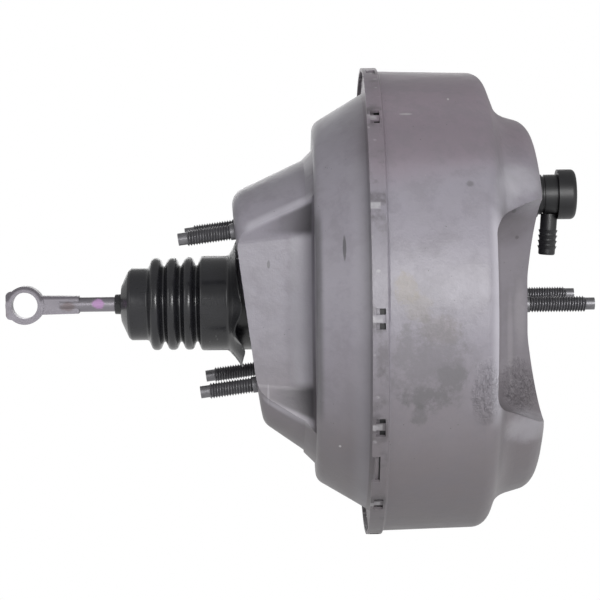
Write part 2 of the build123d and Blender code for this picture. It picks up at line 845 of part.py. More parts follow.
# ---------------------------------------------------------------- input rod
bar_front_x = eye_x + bar_length
rod_neck_x = ball_x - rod_neck_length
with BuildPart() as input_rod:
    with BuildSketch(Plane.XZ):
        with Locations((eye_x, 0)):
            Circle(eye_radius)
    extrude(amount=eye_thickness / 2, both=True)
    with BuildSketch(Plane.XZ):
        with Locations((eye_x - eye_end_length, 0)):
            Rectangle(eye_end_length, eye_end_width, align=(Align.MIN, Align.CENTER))
        fillet(vertices().group_by(Axis.X)[0], radius=eye_end_round)
    extrude(amount=eye_thickness / 2, both=True)
    with BuildSketch(Plane.XZ):
        with BuildLine():
            Polyline(
                (eye_x, bar_height / 2),
                (bar_front_x, bar_height_small / 2),
                (bar_front_x, -bar_height_small / 2),
                (eye_x, -bar_height / 2),
                close=True,
            )
        make_face()
    extrude(amount=bar_thickness / 2, both=True)
    with BuildSketch(Plane.XZ):
        with Locations((eye_x, 0)):
            Circle(eye_bore)
    extrude(amount=eye_thickness, both=True, mode=Mode.SUBTRACT)
    add(rod(bar_front_x - bar_height, rod_neck_x, rod_radius))
    add(rod(rod_neck_x, ball_x, rod_neck_radius))
    with Locations((ball_x, 0, 0)):
        Sphere(ball_radius)
    add(rod(rod_collar_x, rod_collar_x + rod_collar_thickness, rod_collar_radius))
input_rod.part.label = "input_rod"
export_step(input_rod.part, "parts/input_rod.step")

# ---------------------------------------------------------------- boot
boot_line = [
    (boot_end_x, boot_neck_radius),
    (boot_end_x + boot_neck_length, boot_neck_radius),
    (boot_end_x + boot_first_start, boot_first_radius),
    (boot_end_x + boot_first_end, boot_first_radius),
]
for fold in range(boot_fold_count):
    peak_x = boot_end_x + boot_first_peak + fold * boot_fold_spacing
    boot_line.append((peak_x, boot_peak_radius + boot_fold_round))
    boot_line.append((peak_x + boot_fold_spacing / 2, boot_valley_radius - boot_fold_round))
boot_line += [
    (boot_end_x + boot_sleeve_start, boot_sleeve_radius),
    (boot_end_x + boot_length, boot_sleeve_radius),
    (boot_end_x + boot_length + boot_flare_rise, boot_flare_radius),
]
with BuildPart() as boot:
    add(strip(boot_line, boot_fold_round, boot_wall))
boot.part.label = "boot"
export_step(boot.part, "parts/boot.step")

# ---------------------------------------------------------------- check valve
valve_back_x = pad_x + grommet_flange
valve_front_x = valve_back_x + valve_length
with BuildPart() as check_valve_grommet:
    add(rod(pad_x, valve_back_x, grommet_radius, valve_height))
    add(rod(pad_x - wall, pad_x, valve_hole_radius - fit, valve_height))
    add(rod(pad_x - wall - grommet_lip, pad_x - wall, grommet_lip_radius, valve_height))
    add(
        rod(pad_x - wall - grommet_lip, valve_back_x, spigot_radius + fit, valve_height),
        mode=Mode.SUBTRACT,
    )
check_valve_grommet.part.label = "check_valve_grommet"
export_step(check_valve_grommet.part, "parts/check_valve_grommet.step")

spigot_back_x = pad_x - wall - 2 * grommet_lip
valve_floor_x = valve_back_x + valve_wall
nipple_tilt = radians(nipple_lean)
nipple_down = (-sin(nipple_tilt), 0, -cos(nipple_tilt))
nipple_root = Plane(
    origin=(valve_back_x + nipple_from_body, 0, valve_height),
    x_dir=(0, 1, 0),
    z_dir=nipple_down,
)
with BuildPart() as check_valve_body:
    add(rod(spigot_back_x, valve_back_x + fit, spigot_radius, valve_height))
    add(rod(valve_back_x + fit, valve_front_x, valve_radius, valve_height))
    with BuildSketch(nipple_root):
        Circle(nipple_radius)
    extrude(amount=nipple_reach)
    for barb in range(barb_count):
        barb_base = nipple_reach - barb_inset - barb * barb_spacing
        with BuildSketch(nipple_root.offset(barb_base)):
            Circle(nipple_radius)
        with BuildSketch(nipple_root.offset(barb_base - barb_ramp)):
            Circle(barb_radius)
        loft()
    add(rod(valve_floor_x, valve_front_x, valve_radius - valve_wall, valve_height), mode=Mode.SUBTRACT)
    add(rod(spigot_back_x, valve_floor_x, spigot_bore, valve_height), mode=Mode.SUBTRACT)
    with BuildSketch(nipple_root):
        Circle(nipple_bore)
    extrude(amount=nipple_reach, mode=Mode.SUBTRACT)
check_valve_body.part.label = "check_valve_body"
export_step(check_valve_body.part, "parts/check_valve_body.step")

cap_front_x = valve_front_x + valve_cap_length
with BuildPart() as check_valve_cap:
    add(rod(valve_front_x, cap_front_x, valve_cap_radius, valve_height))
    fillet(edges().sort_by(Axis.X)[-1], radius=valve_cap_round)
    add(
        rod(valve_front_x, cap_front_x - valve_wall, valve_radius - valve_wall, valve_height),
        mode=Mode.SUBTRACT,
    )
    with BuildSketch(nipple_root):
        Circle(nipple_radius + fit)
    extrude(amount=nipple_reach, mode=Mode.SUBTRACT)
check_valve_cap.part.label = "check_valve_cap"
export_step(check_valve_cap.part, "parts/check_valve_cap.step")

disc_x = valve_floor_x + fit
with BuildPart() as check_valve_disc:
    add(rod(disc_x, disc_x + disc_thickness, disc_radius, valve_height))
check_valve_disc.part.label = "check_valve_disc"
export_step(check_valve_disc.part, "parts/check_valve_disc.step")

with BuildPart() as check_valve_spring:
    add(
        coil(
            disc_x + disc_thickness + clear / 2,
            cap_front_x - valve_wall - clear / 2,
            valve_height,
            disc_spring_radius,
            disc_spring_wire,
            disc_spring_turns,
        )
    )
check_valve_spring.part.label = "check_valve_spring"
export_step(check_valve_spring.part, "parts/check_valve_spring.step")
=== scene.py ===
import json
from math import cos, exp, pi, radians, sin, tan

import bmesh
import bpy
from mathutils import Matrix, Vector


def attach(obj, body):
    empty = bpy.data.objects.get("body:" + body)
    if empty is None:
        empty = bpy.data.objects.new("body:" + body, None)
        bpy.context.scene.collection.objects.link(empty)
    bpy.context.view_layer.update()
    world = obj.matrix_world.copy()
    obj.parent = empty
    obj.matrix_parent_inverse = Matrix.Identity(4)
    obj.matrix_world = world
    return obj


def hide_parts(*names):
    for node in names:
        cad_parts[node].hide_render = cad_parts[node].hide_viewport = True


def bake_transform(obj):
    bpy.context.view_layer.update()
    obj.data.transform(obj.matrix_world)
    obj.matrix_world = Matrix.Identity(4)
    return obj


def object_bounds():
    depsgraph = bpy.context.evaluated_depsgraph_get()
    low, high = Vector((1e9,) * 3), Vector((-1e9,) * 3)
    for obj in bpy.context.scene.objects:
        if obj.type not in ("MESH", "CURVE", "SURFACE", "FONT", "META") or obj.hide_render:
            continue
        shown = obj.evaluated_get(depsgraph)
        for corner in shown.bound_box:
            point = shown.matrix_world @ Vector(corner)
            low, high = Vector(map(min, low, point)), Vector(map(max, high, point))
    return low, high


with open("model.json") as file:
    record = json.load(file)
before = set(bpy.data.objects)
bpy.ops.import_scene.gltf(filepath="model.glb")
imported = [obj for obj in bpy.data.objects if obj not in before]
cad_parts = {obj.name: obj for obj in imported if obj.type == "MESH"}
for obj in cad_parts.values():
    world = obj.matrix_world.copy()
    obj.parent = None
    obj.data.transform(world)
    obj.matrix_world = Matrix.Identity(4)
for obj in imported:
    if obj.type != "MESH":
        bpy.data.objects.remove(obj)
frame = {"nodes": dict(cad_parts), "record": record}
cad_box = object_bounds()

bl_info = {
    "name": "Brake booster dressing",
    "version": (1, 0, 0),
    "blender": (4, 5, 0),
    "location": "View3D > Sidebar > Booster",
    "description": "Finishes and fine detail of a vacuum brake booster",
    "category": "Object",
}

MM = 0.001
AXIS = Vector((1, 0, 0))
UP = Vector((0, 0, 1))

# Places on the booster: X is measured from the master cylinder land, Z from the axis
FACE_TILT = radians(7.5)         # firewall face, off square to the axis
FACE_OUT = Vector((-cos(FACE_TILT), 0, -sin(FACE_TILT)))
FACE_UP = Vector((-sin(FACE_TILT), 0, cos(FACE_TILT)))
FACE_X = -161.8 * MM             # middle of the firewall face
FIREWALL_STUD_OFFSET = 45 * MM   # half the square of firewall studs
FIREWALL_STUD_REACH = 33.5 * MM  # out of the firewall face
MASTER_STUD_OFFSET = 42.85 * MM  # half the spacing on the land
MASTER_STUD_REACH = 41 * MM      # out of the land
LANCES = 14                      # pinched tabs round the skirt
EYE_X = -0.2958                  # middle of the pedal rod's eye
VALVE_HEIGHT = 63 * MM           # check valve, above the axis
NIPPLE_X = 21.2 * MM             # root of the hose nipple
NIPPLE_LEAN = radians(4)         # of the nipple, back towards the drum


# ---------------------------------------------------------------- sizes and colours
class BoosterPaint(bpy.types.PropertyGroup):
    """Colours of the shells' paint and of the pedal rod."""

    paint: bpy.props.FloatVectorProperty(
        name="Paint", description="Grey of the shells", subtype="COLOR", size=3,
        default=(0.300, 0.283, 0.326), min=0, max=1)
    # Tints of the painted shade towards the bottom and the top of the shells
    shade_low: bpy.props.FloatVectorProperty(
        name="Painted shade, below", description="Brown-grey of the painted shade low down", subtype="COLOR",
        size=3, default=(0.200, 0.178, 0.188), min=0, max=1)
    shade_top: bpy.props.FloatVectorProperty(
        name="Painted shade, above", description="Purple-grey of the painted shade on top", subtype="COLOR",
        size=3, default=(0.272, 0.222, 0.262), min=0, max=1)
    steel: bpy.props.FloatVectorProperty(
        name="Rod steel", description="Dull steel of the pedal rod", subtype="COLOR", size=3,
        default=(0.250, 0.236, 0.262), min=0, max=1)
    dab: bpy.props.FloatVectorProperty(
        name="Paint dab", description="Inspection dab on the rod", subtype="COLOR", size=3,
        default=(0.540, 0.300, 0.580), min=0, max=1)


class BoosterStuds(bpy.types.PropertyGroup):
    """Sizes of the threaded studs."""

    pitch: bpy.props.FloatProperty(
        name="Thread pitch", description="Rise of the thread in one turn", unit="LENGTH",
        default=1.5875 * MM, min=0.5 * MM, max=3 * MM)
    radius: bpy.props.FloatProperty(
        name="Crest radius", description="Outside of the thread", unit="LENGTH",
        default=4.72 * MM, min=2 * MM, max=8 * MM)
    depth: bpy.props.FloatProperty(
        name="Thread depth", description="Crest to root", unit="LENGTH",
        default=1.0 * MM, min=0.1 * MM, max=2 * MM)
    dog_radius: bpy.props.FloatProperty(
        name="Dog point radius", description="Plain end that guides a nut on", unit="LENGTH",
        default=3.58 * MM, min=1 * MM, max=6 * MM)
    dog_length: bpy.props.FloatProperty(
        name="Dog point length", description="Length of the plain end", unit="LENGTH",
        default=5.5 * MM, min=1 * MM, max=12 * MM)
    shank: bpy.props.FloatProperty(
        name="Plain shank", description="Length without a thread, next to the shell", unit="LENGTH",
        default=3.0 * MM, min=0.5 * MM, max=8 * MM)


class BoosterBoot(bpy.types.PropertyGroup):
    """Sizes of the rubber boot."""

    peak: bpy.props.FloatProperty(
        name="Fold crest radius", description="Crest of the folds", unit="LENGTH",
        default=28.0 * MM, min=15 * MM, max=40 * MM)
    valley: bpy.props.FloatProperty(
        name="Fold root radius", description="Bottom of the folds", unit="LENGTH",
        default=23.2 * MM, min=10 * MM, max=35 * MM)
    sleeve: bpy.props.FloatProperty(
        name="Sleeve radius", description="Plain part over the hub", unit="LENGTH",
        default=28.5 * MM, min=15 * MM, max=40 * MM)
    flare: bpy.props.FloatProperty(
        name="Flare radius", description="Edge of the thin flared lip", unit="LENGTH",
        default=38.3 * MM, min=30 * MM, max=45 * MM)
    wall: bpy.props.FloatProperty(
        name="Rubber", description="Thickness of the boot", unit="LENGTH",
        default=1.2 * MM, min=0.5 * MM, max=3 * MM)


class BoosterStage(bpy.types.PropertyGroup):
    """Camera and light."""

    distance: bpy.props.FloatProperty(
        name="Camera distance", description="From the booster's axis", unit="LENGTH",
        default=1.25, min=0.3, max=5)
    elevation: bpy.props.FloatProperty(
        name="Camera height", description="Angle above the axis", subtype="ANGLE",
        default=radians(3.95), min=-1.5, max=1.5)
    yaw: bpy.props.FloatProperty(
        name="Camera turn", description="Angle off square to the axis", subtype="ANGLE",
        default=radians(0.5), min=-1.5, max=1.5)
    key: bpy.props.FloatProperty(
        name="Key light", description="Power of the large front lamp", unit="POWER",
        default=18.5, min=0, max=1000)


# ---------------------------------------------------------------- shader sums
class Field:
    """A socket that does sums: an expression on fields adds the nodes that it needs."""

    def __init__(self, finish, socket):
        self.finish, self.socket = finish, socket

    def sum(self, operation, *values):
        """A Math node on these values."""
        return self.finish.node("ShaderNodeMath", {"operation": operation}, *values)

    def __add__(self, other): return self.sum("ADD", self, other)
    def __radd__(self, other): return self.sum("ADD", other, self)
    def __sub__(self, other): return self.sum("SUBTRACT", self, other)
    def __rsub__(self, other): return self.sum("SUBTRACT", other, self)
    def __mul__(self, other): return self.sum("MULTIPLY", self, other)
    def __rmul__(self, other): return self.sum("MULTIPLY", other, self)
    def __truediv__(self, other): return self.sum("DIVIDE", self, other)
    def __pow__(self, other): return self.sum("POWER", self, other)

    def size(self):
        """Without its sign."""
        return self.sum("ABSOLUTE", self)

    def held(self, low=0.0, high=1.0):
        """Kept between low and high."""
        return self.sum("MINIMUM", self.sum("MAXIMUM", self, low), high)

    def ramp(self, start, end):
        """0 before start and 1 after end, with a soft turn between."""
        return self.finish.node(
            "ShaderNodeMapRange", {"interpolation_type": "SMOOTHSTEP"}, self, start, end, 0.0, 1.0)

    def within(self, start, full, fading, end):
        """1 from full to fading, and 0 before start and after end."""
        return self.ramp(start, full) * (1.0 - self.ramp(fading, end))


class Finish:
    """A node material, built up from expressions."""

    def __init__(self, name):
        self.material = bpy.data.materials.new(name)
        self.material.use_nodes = True
        self.tree = self.material.node_tree
        self.tree.nodes.clear()
        self.shader = self.tree.nodes.new("ShaderNodeBsdfPrincipled")
        output = self.tree.nodes.new("ShaderNodeOutputMaterial")
        self.tree.links.new(self.shader.outputs[0], output.inputs[0])
        self.place = self.node("ShaderNodeTexCoord", {}, output="Object")
        parts = self.node("ShaderNodeSeparateXYZ", {}, self.place).socket.node.outputs
        self.x, self.y, self.z = (Field(self, part) for part in parts)

    def node(self, kind, settings, *values, output=0, **named):
        """A node with its settings made first, then its sockets, by number or by name."""
        node = self.tree.nodes.new(kind)
        for key, value in settings.items():
            setattr(node, key, value)
        pairs = list(enumerate(values)) + [(key.replace("_", " "), v) for key, v in named.items()]
        for key, value in pairs:
            socket = node.inputs[key]
            if isinstance(value, Field):
                self.tree.links.new(value.socket, socket)
            elif isinstance(value, (tuple, list)) and len(value) == 3 and socket.type == "RGBA":
                socket.default_value = (*value, 1.0)
            else:
                socket.default_value = value
        return Field(self, node.outputs[output])

    def grain(self, scale, detail=3.0, roughness=0.55, stretch=(1, 1, 1), shift=(0, 0, 0)):
        """Cloudy noise from 0 to 1, with features about 1 / scale metres across."""
        place = self.node(
            "ShaderNodeMapping", {}, self.place, shift, (0.0, 0.0, 0.0), stretch)
        return self.node(
            "ShaderNodeTexNoise", {}, Vector=place, Scale=scale, Detail=detail,
            Roughness=roughness)

    def cells(self, scale, stretch=(1, 1, 1)):
        """Distance to the nearest of scattered points."""
        place = self.node(
            "ShaderNodeMapping", {}, self.place, (0.0, 0.0, 0.0), (0.0, 0.0, 0.0), stretch)
        return self.node("ShaderNodeTexVoronoi", {"feature": "F1"}, Vector=place, Scale=scale)

    def spot(self, centre, size, ragged=0.0, soft=0.4):
        """1 inside an ellipsoid about centre, 0 outside, with a soft and ragged edge."""
        parts = [
            ((field - middle) / half) ** 2.0
            for field, middle, half in zip((self.x, self.y, self.z), centre, size)
        ]
        reach = parts[0] + parts[1] + parts[2]
        if ragged:
            reach = reach + (self.grain(115.0, 6.0, 0.72) - 0.5) * ragged
        return 1.0 - reach.ramp(1.0 - soft, 1.0 + soft)

    def mix(self, share, first, second):
        """first where share is 0 and second where it is 1, as colours."""
        node = self.tree.nodes.new("ShaderNodeMix")
        node.data_type = "RGBA"
        for index, value in ((0, share), (6, first), (7, second)):
            socket = node.inputs[index]
            if isinstance(value, Field):
                self.tree.links.new(value.socket, socket)
            else:
                socket.default_value = (*value, 1.0) if index else value
        return Field(self, node.outputs[2])

    def layered(self, colour, layers):
        """The colour under layers of (share, tint), each over the ones before."""
        for share, tint in layers:
            colour = self.mix(share, colour, tint)
        return colour

    def bump(self, height, distance, strength, below=None):
        """A normal raised by height, over the normal below."""
        named = {"Height": height, "Distance": distance, "Strength": strength}
        if below is not None:
            named["Normal"] = below
        return self.node("ShaderNodeBump", {}, **named)

    def wear(self, **inputs):
        """Sets the shader's sockets, from a number, a colour or a field."""
        for key, value in inputs.items():
            socket = self.shader.inputs[key.replace("_", " ")]
            if isinstance(value, Field):
                self.tree.links.new(value.socket, socket)
            else:
                socket.default_value = (*value, 1.0) if isinstance(value, (tuple, list)) else value
        return self.material


# ---------------------------------------------------------------- finishes
# Marks on the shells' paint: centre and half size in mm, how ragged and how soft the edge is, how
# strong the mark is, and its colour. Each lies over the ones before.
# Colours of the painted highlights, then of the painted shade, the smudges and the nicks
SHEEN, FOLD_HIGHLIGHT = (0.560, 0.545, 0.590), (0.400, 0.380, 0.395)
SHADE, SMUDGE, NICK = (0.095, 0.083, 0.089), (0.120, 0.118, 0.122), (0.070, 0.064, 0.068)
PAINT_MARKS = (
    ("stain, upper", (-74, -136, 17), (6, 30, 9), 6.0, 0.6, 0.50, (0.300, 0.258, 0.200)),
    ("stain, middle", (-68, -137, 5), (7, 30, 8), 6.5, 0.7, 0.30, (0.320, 0.280, 0.215)),
    ("stain, lower", (-57, -137, -6), (10, 30, 8), 6.0, 0.8, 0.24, (0.310, 0.262, 0.225)),
    ("stain's edge", (-64, -136, 8), (17, 30, 19), 6.0, 0.8, 0.34, (0.185, 0.175, 0.195)),
    ("shadowed patch", (-62, -133, -26), (20, 40, 25), 7.0, 0.8, 0.52, (0.165, 0.157, 0.168)),
    ("smudge", (-64, -129, -44), (12, 30, 6), 8.0, 0.8, 0.42, SMUDGE),
    ("smudge, lower", (-67, -125, -54), (4, 30, 6), 5.0, 0.7, 0.46, SMUDGE),
    ("smudge, front", (-50, -132, -33), (9, 30, 6), 8.0, 0.8, 0.34, (0.130, 0.128, 0.132)),
    # painted highlights on the shoulders round the front hollow
    ("painted highlight, upper shoulder", (-8, -84, 73), (13, 30, 8), 2.0, 1.0, 0.44, SHEEN),
    ("painted highlight, shoulder bend", (-17, -96, 66), (8, 30, 9), 2.0, 1.0, 0.30, SHEEN),
    ("painted highlight, lower shoulder", (-4, -92, -66), (13, 30, 8), 2.4, 1.0, 0.44, SHEEN),
    # painted shade in a belt along the top of the drum
    ("painted shade, belt on top", (-58, -100, 97), (60, 60, 13), 1.5, 0.9, 0.42, (0.170, 0.150, 0.172)),
    # painted shade at the top and the edge of the front hollow
    ("painted shade, top of the hollow", (-11, -75, 47), (11, 26, 11), 1.6, 0.8, 0.34, SHADE),
    ("painted shade, edge of the hollow", (-17.5, -98, 0), (2.4, 40, 56), 0.4, 0.7, 0.34, SHADE),
    # painted highlights on a fold in the front hollow and on the land's edge
    ("painted highlight, fold of the hollow", (-10.5, -70, -20), (1.6, 14, 26), 1.8, 1.0, 0.22, FOLD_HIGHLIGHT),
    ("painted highlight, land edge", (-4.5, -62, -4), (3.2, 8, 17), 1.8, 1.0, 0.26, FOLD_HIGHLIGHT),
    ("scratch, cone", (-106.4, -110, 37), (0.9, 20, 6.5), 1.5, 0.5, 0.75, (0.060, 0.058, 0.062)),
    ("scratch, nose", (-148.6, -60, 26), (0.9, 10, 2.3), 1.5, 0.5, 0.60, (0.080, 0.076, 0.080)),
    ("pale crease, nose", (-149.6, -61, -49), (0.6, 8, 5.5), 2.5, 0.8, 0.30, (0.560, 0.550, 0.580)),
    ("bright scratch", (-70.5, -81, 110.6), (3.6, 10, 0.5), 2.0, 0.6, 0.55, (0.500, 0.490, 0.500)),
    ("bright speck, top", (-45.5, -67, 119), (0.6, 4, 0.6), 0.2, 0.4, 0.70, (0.580, 0.570, 0.580)),
    ("bright speck, low", (-109.3, -85, -76), (0.7, 6, 0.7), 0.2, 0.4, 0.75, (0.620, 0.610, 0.620)),
    ("dark nick", (-10.1, -83, 55.6), (1.3, 10, 1.3), 2.0, 0.6, 0.60, NICK),
    ("dark nick, lower", (-6.5, -66, 40), (1.0, 10, 1.0), 2.0, 0.6, 0.60, NICK),
    ("dull dot", (-37.8, -116, 71.5), (2.4, 8, 1.6), 4.0, 0.6, 0.50, (0.110, 0.105, 0.110)),
)

# Stretches of the shells along X, in metres: where each starts, is full, starts to fade and ends
NOSE = (-0.1640, -0.1580, -0.1245, -0.1220)
NOSE_FLOOR_FOOT = (-0.1385, -0.1290, -0.1244, -0.1232)
NOSE_FOOT = (-0.1236, -0.1216, -0.1205, -0.1168)
BELOW_SKIRT = (-0.105, -0.095, -0.0935, -0.0928)
SKIRT = (-0.0935, -0.0925, -0.0845, -0.0835)
DRUM_CORNER_X = -0.0240
NOSE_POCKET_MIDDLE = -0.001      # height of the nose pockets' middle
# Half height of those pockets' rims, where it is measured, and how it grows forwards
NOSE_RIM, NOSE_RIM_X, NOSE_RIM_SPREAD = 0.0530, -0.147, 0.45


def marked(finish, colour, marks):
    """The colour with each mark laid over the ones before."""
    return finish.layered(colour, [
        (finish.spot([v * MM for v in centre], [v * MM for v in half], ragged, soft) * share, tint)
        for _, centre, half, ragged, soft, share, tint in marks
    ])


def shell_paint(sizes):
    """Semi-matt grey paint over pressed steel, dirtied, stained and scuffed by handling, with
    painted light and shade.
    """
    f = Finish("shell_paint")
    reach = (f.y ** 2.0 + f.z ** 2.0) ** 0.5
    side, height = f.y.size(), f.z.size()
    cloud, mottle = f.grain(14.0, 4.0, 0.6), f.grain(70.0, 5.0, 0.6)
    blotch = f.grain(62.0, 6.0, 0.70, shift=(0.7, 0.2, 1.4))
    fine, crinkle = f.grain(900.0, 3.0, 0.6), f.grain(420.0, 4.0, 0.65)

    # Painted shade towards the top and bottom, uneven patches, painted shade in the hollows of the
    # pressings, and painted light below the skirt
    # painted shade: the paint darkens towards the top and the bottom of the shells
    above = (f.z + (cloud - 0.5) * 0.03).ramp(0.070, 0.094)
    below = ((cloud - 0.5) * 0.06 - f.z).ramp(-0.005, 0.085)
    top_shade_tone = f.mix(f.x.ramp(-0.105, -0.085), tuple(sizes.paint), tuple(sizes.shade_top))
    # painted shade in the front hollow and at the foot of the nose step
    front_hollow_shade = f.x.ramp(-0.0225, -0.0185) * (1.0 - height.ramp(0.050, 0.061)) * (
        side.ramp(0.045, 0.060))
    nose_foot_shade = f.x.within(*NOSE_FOOT) * (
        1.0 - (f.z + 0.002).size().ramp(0.050, 0.064)) * reach.ramp(0.060, 0.075)
    colour = f.layered(tuple(sizes.paint), (
        (above * 0.9, top_shade_tone),
        (below * 0.9, tuple(sizes.shade_low)),
        (blotch.ramp(0.44, 0.62) * 0.36, (0.200, 0.186, 0.210)),
        ((mottle - 0.35).held() * 0.5, (0.245, 0.236, 0.244)),
        (front_hollow_shade * 0.52, (0.120, 0.106, 0.112)),
        (nose_foot_shade * 0.62, (0.085, 0.083, 0.088)),
        # painted light on the rear shell below the skirt, against the shade under its edge
        (f.x.within(*BELOW_SKIRT) * 0.42, (0.430, 0.412, 0.460)),
    ))
    colour = marked(f, colour, PAINT_MARKS)

    # Painted highlights on the drum's corner and along the nose pockets' rims, painted light at the
    # front foot of the pockets' floors, and painted shade in the pockets' wedges
    corner = (1.0 - (f.x - DRUM_CORNER_X).size().ramp(0.0002, 0.0052)) * (
        1.0 - height.ramp(0.046, 0.066)) * reach.ramp(0.110, 0.122)
    nose = f.x.within(*NOSE)
    from_middle = (f.z - NOSE_POCKET_MIDDLE).size()
    above_rim = from_middle - NOSE_RIM - (f.x - NOSE_RIM_X) * NOSE_RIM_SPREAD
    nose_rim_highlight = (1.0 - (above_rim - 0.0015).size().ramp(0.0, 0.0045)) * (
        side.ramp(0.0590, 0.0612)) * nose
    wedge_shade = (1.0 - above_rim.ramp(-0.0020, 0.0)) * from_middle.ramp(0.0425, 0.0470) * (
        f.x.ramp(-0.158, -0.124)) * nose * side.ramp(0.0565, 0.0580)
    floor_foot_light = f.x.within(*NOSE_FLOOR_FOOT) * (
        1.0 - from_middle.ramp(0.040, 0.046)) * side.ramp(0.0565, 0.0580)
    painted_light = (corner * 0.62 + nose_rim_highlight * 0.50 + floor_foot_light * 0.62) * (0.70 + mottle * 0.6)

    # The skirt: pale bars at the pinched tabs, darker paint beside them, and flecks between
    band = f.x.within(*SKIRT) * reach.ramp(0.1365, 0.1375)
    turn = f.z.sum("ARCTAN2", f.z, side) * (LANCES / (2 * pi)) + 0.5
    from_lance = (turn.sum("FRACT", turn) - 0.5).size()
    pinched = (1.0 - from_lance.ramp(0.022, 0.040)) * (1.0 - f.x.ramp(-0.0875, -0.0865))
    beside_lances = (1.0 - from_lance.ramp(0.10, 0.17)) * mottle.ramp(0.40, 0.60) * (1.0 - pinched)
    flecks = (1.0 - f.cells(160.0, stretch=(0.8, 1.0, 1.0)).ramp(0.10, 0.22)) * (
        blotch.ramp(0.40, 0.56))

    # Dirt specks and chips, in scattered patches
    specks = (1.0 - f.cells(210.0).ramp(0.035, 0.085)) * (
        f.grain(25.0, 2.0, 0.5, shift=(3.1, 0.7, 2.2)).ramp(0.52, 0.62))
    chips = (1.0 - f.cells(120.0, stretch=(1.0, 1.3, 1.1)).ramp(0.022, 0.045)) * (
        f.grain(31.0, 2.0, 0.5, shift=(1.3, 4.1, 0.2)).ramp(0.58, 0.66))
    colour = f.layered(colour, (
        # painted shade in the nose pockets' wedges, then the painted highlights and light
        (wedge_shade * 0.90, (0.088, 0.083, 0.092)),
        (painted_light.held(), (0.60, 0.58, 0.64)),
        (band * pinched * mottle.ramp(0.35, 0.55) * 0.55, (0.60, 0.59, 0.61)),
        (band * beside_lances * 0.65, (0.085, 0.078, 0.084)),
        (band * flecks * 0.55, (0.52, 0.51, 0.53)),
        (band * (0.16 + mottle.ramp(0.52, 0.66) * 0.35), (0.110, 0.100, 0.108)),
        (specks * 0.7, (0.085, 0.080, 0.080)),
        (chips * 0.6, (0.50, 0.50, 0.51)),
    ))

    # Shallow dents, skin puckered by the press in two places, and the grain of the paint
    dents = f.bump(cloud * 0.6 + blotch * 0.4, 0.0022, 0.5)
    puckered = f.spot((-0.030, -0.131, -0.042), (0.007, 0.02, 0.015), 1.6, 1.0) + f.spot(
        (-0.006, -0.070, -0.046), (0.009, 0.02, 0.013), 1.6, 1.0)
    ripples = f.grain(300.0, 3.0, 0.6, (1.9, 1.0, 0.7), (0.3, 2.0, 0.1))
    folds = f.bump(ripples * puckered.held(), 0.0046, 0.9, dents)
    skin = f.bump(fine * 0.3 + crinkle * 0.7, 0.00016, 0.55, folds)
    gloss = 0.33 + mottle * 0.16 + (above + below) * 0.08
    return f.wear(
        Base_Color=colour, Roughness=gloss.held(), Metallic=0.0, Normal=skin,
        Specular_IOR_Level=0.5)


def stud_phosphate():
    """Dark phosphate on the threaded studs, mottled lighter in patches."""
    f = Finish("stud_phosphate")
    mottle = f.grain(240.0, 4.0, 0.6)
    fine = f.grain(1600.0, 2.0, 0.5)
    colour = f.mix(mottle, (0.110, 0.108, 0.116), (0.235, 0.232, 0.244))
    return f.wear(
        Base_Color=colour, Metallic=0.75, Roughness=(0.34 + mottle * 0.2).held(),
        Normal=f.bump(fine, 0.00008, 0.5))


def rod_steel(sizes):
    """Dull forged steel with a darker band along the top, rust and an inspection dab."""
    f = Finish("rod_steel")
    along = f.grain(120.0, 4.0, 0.6, (0.25, 1.0, 1.0))
    fine = f.grain(1100.0, 3.0, 0.6)
    blotch = f.grain(95.0, 4.0, 0.6)
    dull, bright = (tuple(share * c for c in sizes.steel) for share in (0.72, 1.25))
    from_eye = ((f.x - EYE_X) ** 2.0 + f.z ** 2.0) ** 0.5
    at_eye = 1.0 - f.x.ramp(EYE_X + 0.0100, EYE_X + 0.0125)
    over_eye = from_eye.ramp(0.0090, 0.0104) * f.z.ramp(0.0010, 0.0040) * at_eye
    top = f.z.ramp(0.0030, 0.0044) * (1.0 - at_eye) + over_eye
    rust = f.spot((-0.2695, -0.004, -0.001), (0.0040, 0.004, 0.0024), 5.0, 0.8) * 0.5
    dab = f.spot((-0.2520, -0.0045, 0.0004), (0.0034, 0.0040, 0.0030), 4.0, 0.5)
    colour = f.layered(f.mix(along, dull, bright), (
        (top.held() * 0.75, (0.060, 0.054, 0.062)),
        ((rust + blotch.ramp(0.60, 0.72) * 0.22).held(), (0.120, 0.080, 0.072)),
        (dab * 0.8, tuple(sizes.dab)),
    ))
    return f.wear(
        Base_Color=colour, Metallic=(0.85 - dab * 0.8 - rust * 0.5).held(),
        Roughness=(0.34 + blotch * 0.22 + dab * 0.15).held(),
        Normal=f.bump(fine * 0.4 + along * 0.6, 0.00025, 0.6))


def moulded(name, dark, light, scale, rough, scuffs=0.0, relief=0.00012):
    """Moulded rubber or plastic with faint flow marks, dust and scuffs."""
    f = Finish(name)
    flow = f.grain(scale, 4.0, 0.6, (0.35, 1.0, 1.0))
    fine = f.grain(scale * 14.0, 3.0, 0.6)
    colour = f.mix(flow.ramp(0.30, 0.75), dark, light)
    if scuffs:
        marks = (1.0 - f.cells(95.0, stretch=(2.6, 1.0, 1.0)).ramp(0.05, 0.13)) * (
            f.grain(36.0, 3.0, 0.6, shift=(0.4, 1.9, 0.6)).ramp(0.56, 0.66))
        colour = f.mix(marks * scuffs, colour, (0.33, 0.33, 0.33))
    return f.wear(
        Base_Color=colour, Roughness=(rough + (flow - 0.5) * 0.16).held(),
        Normal=f.bump(fine * 0.5 + flow * 0.5, relief, 0.6))


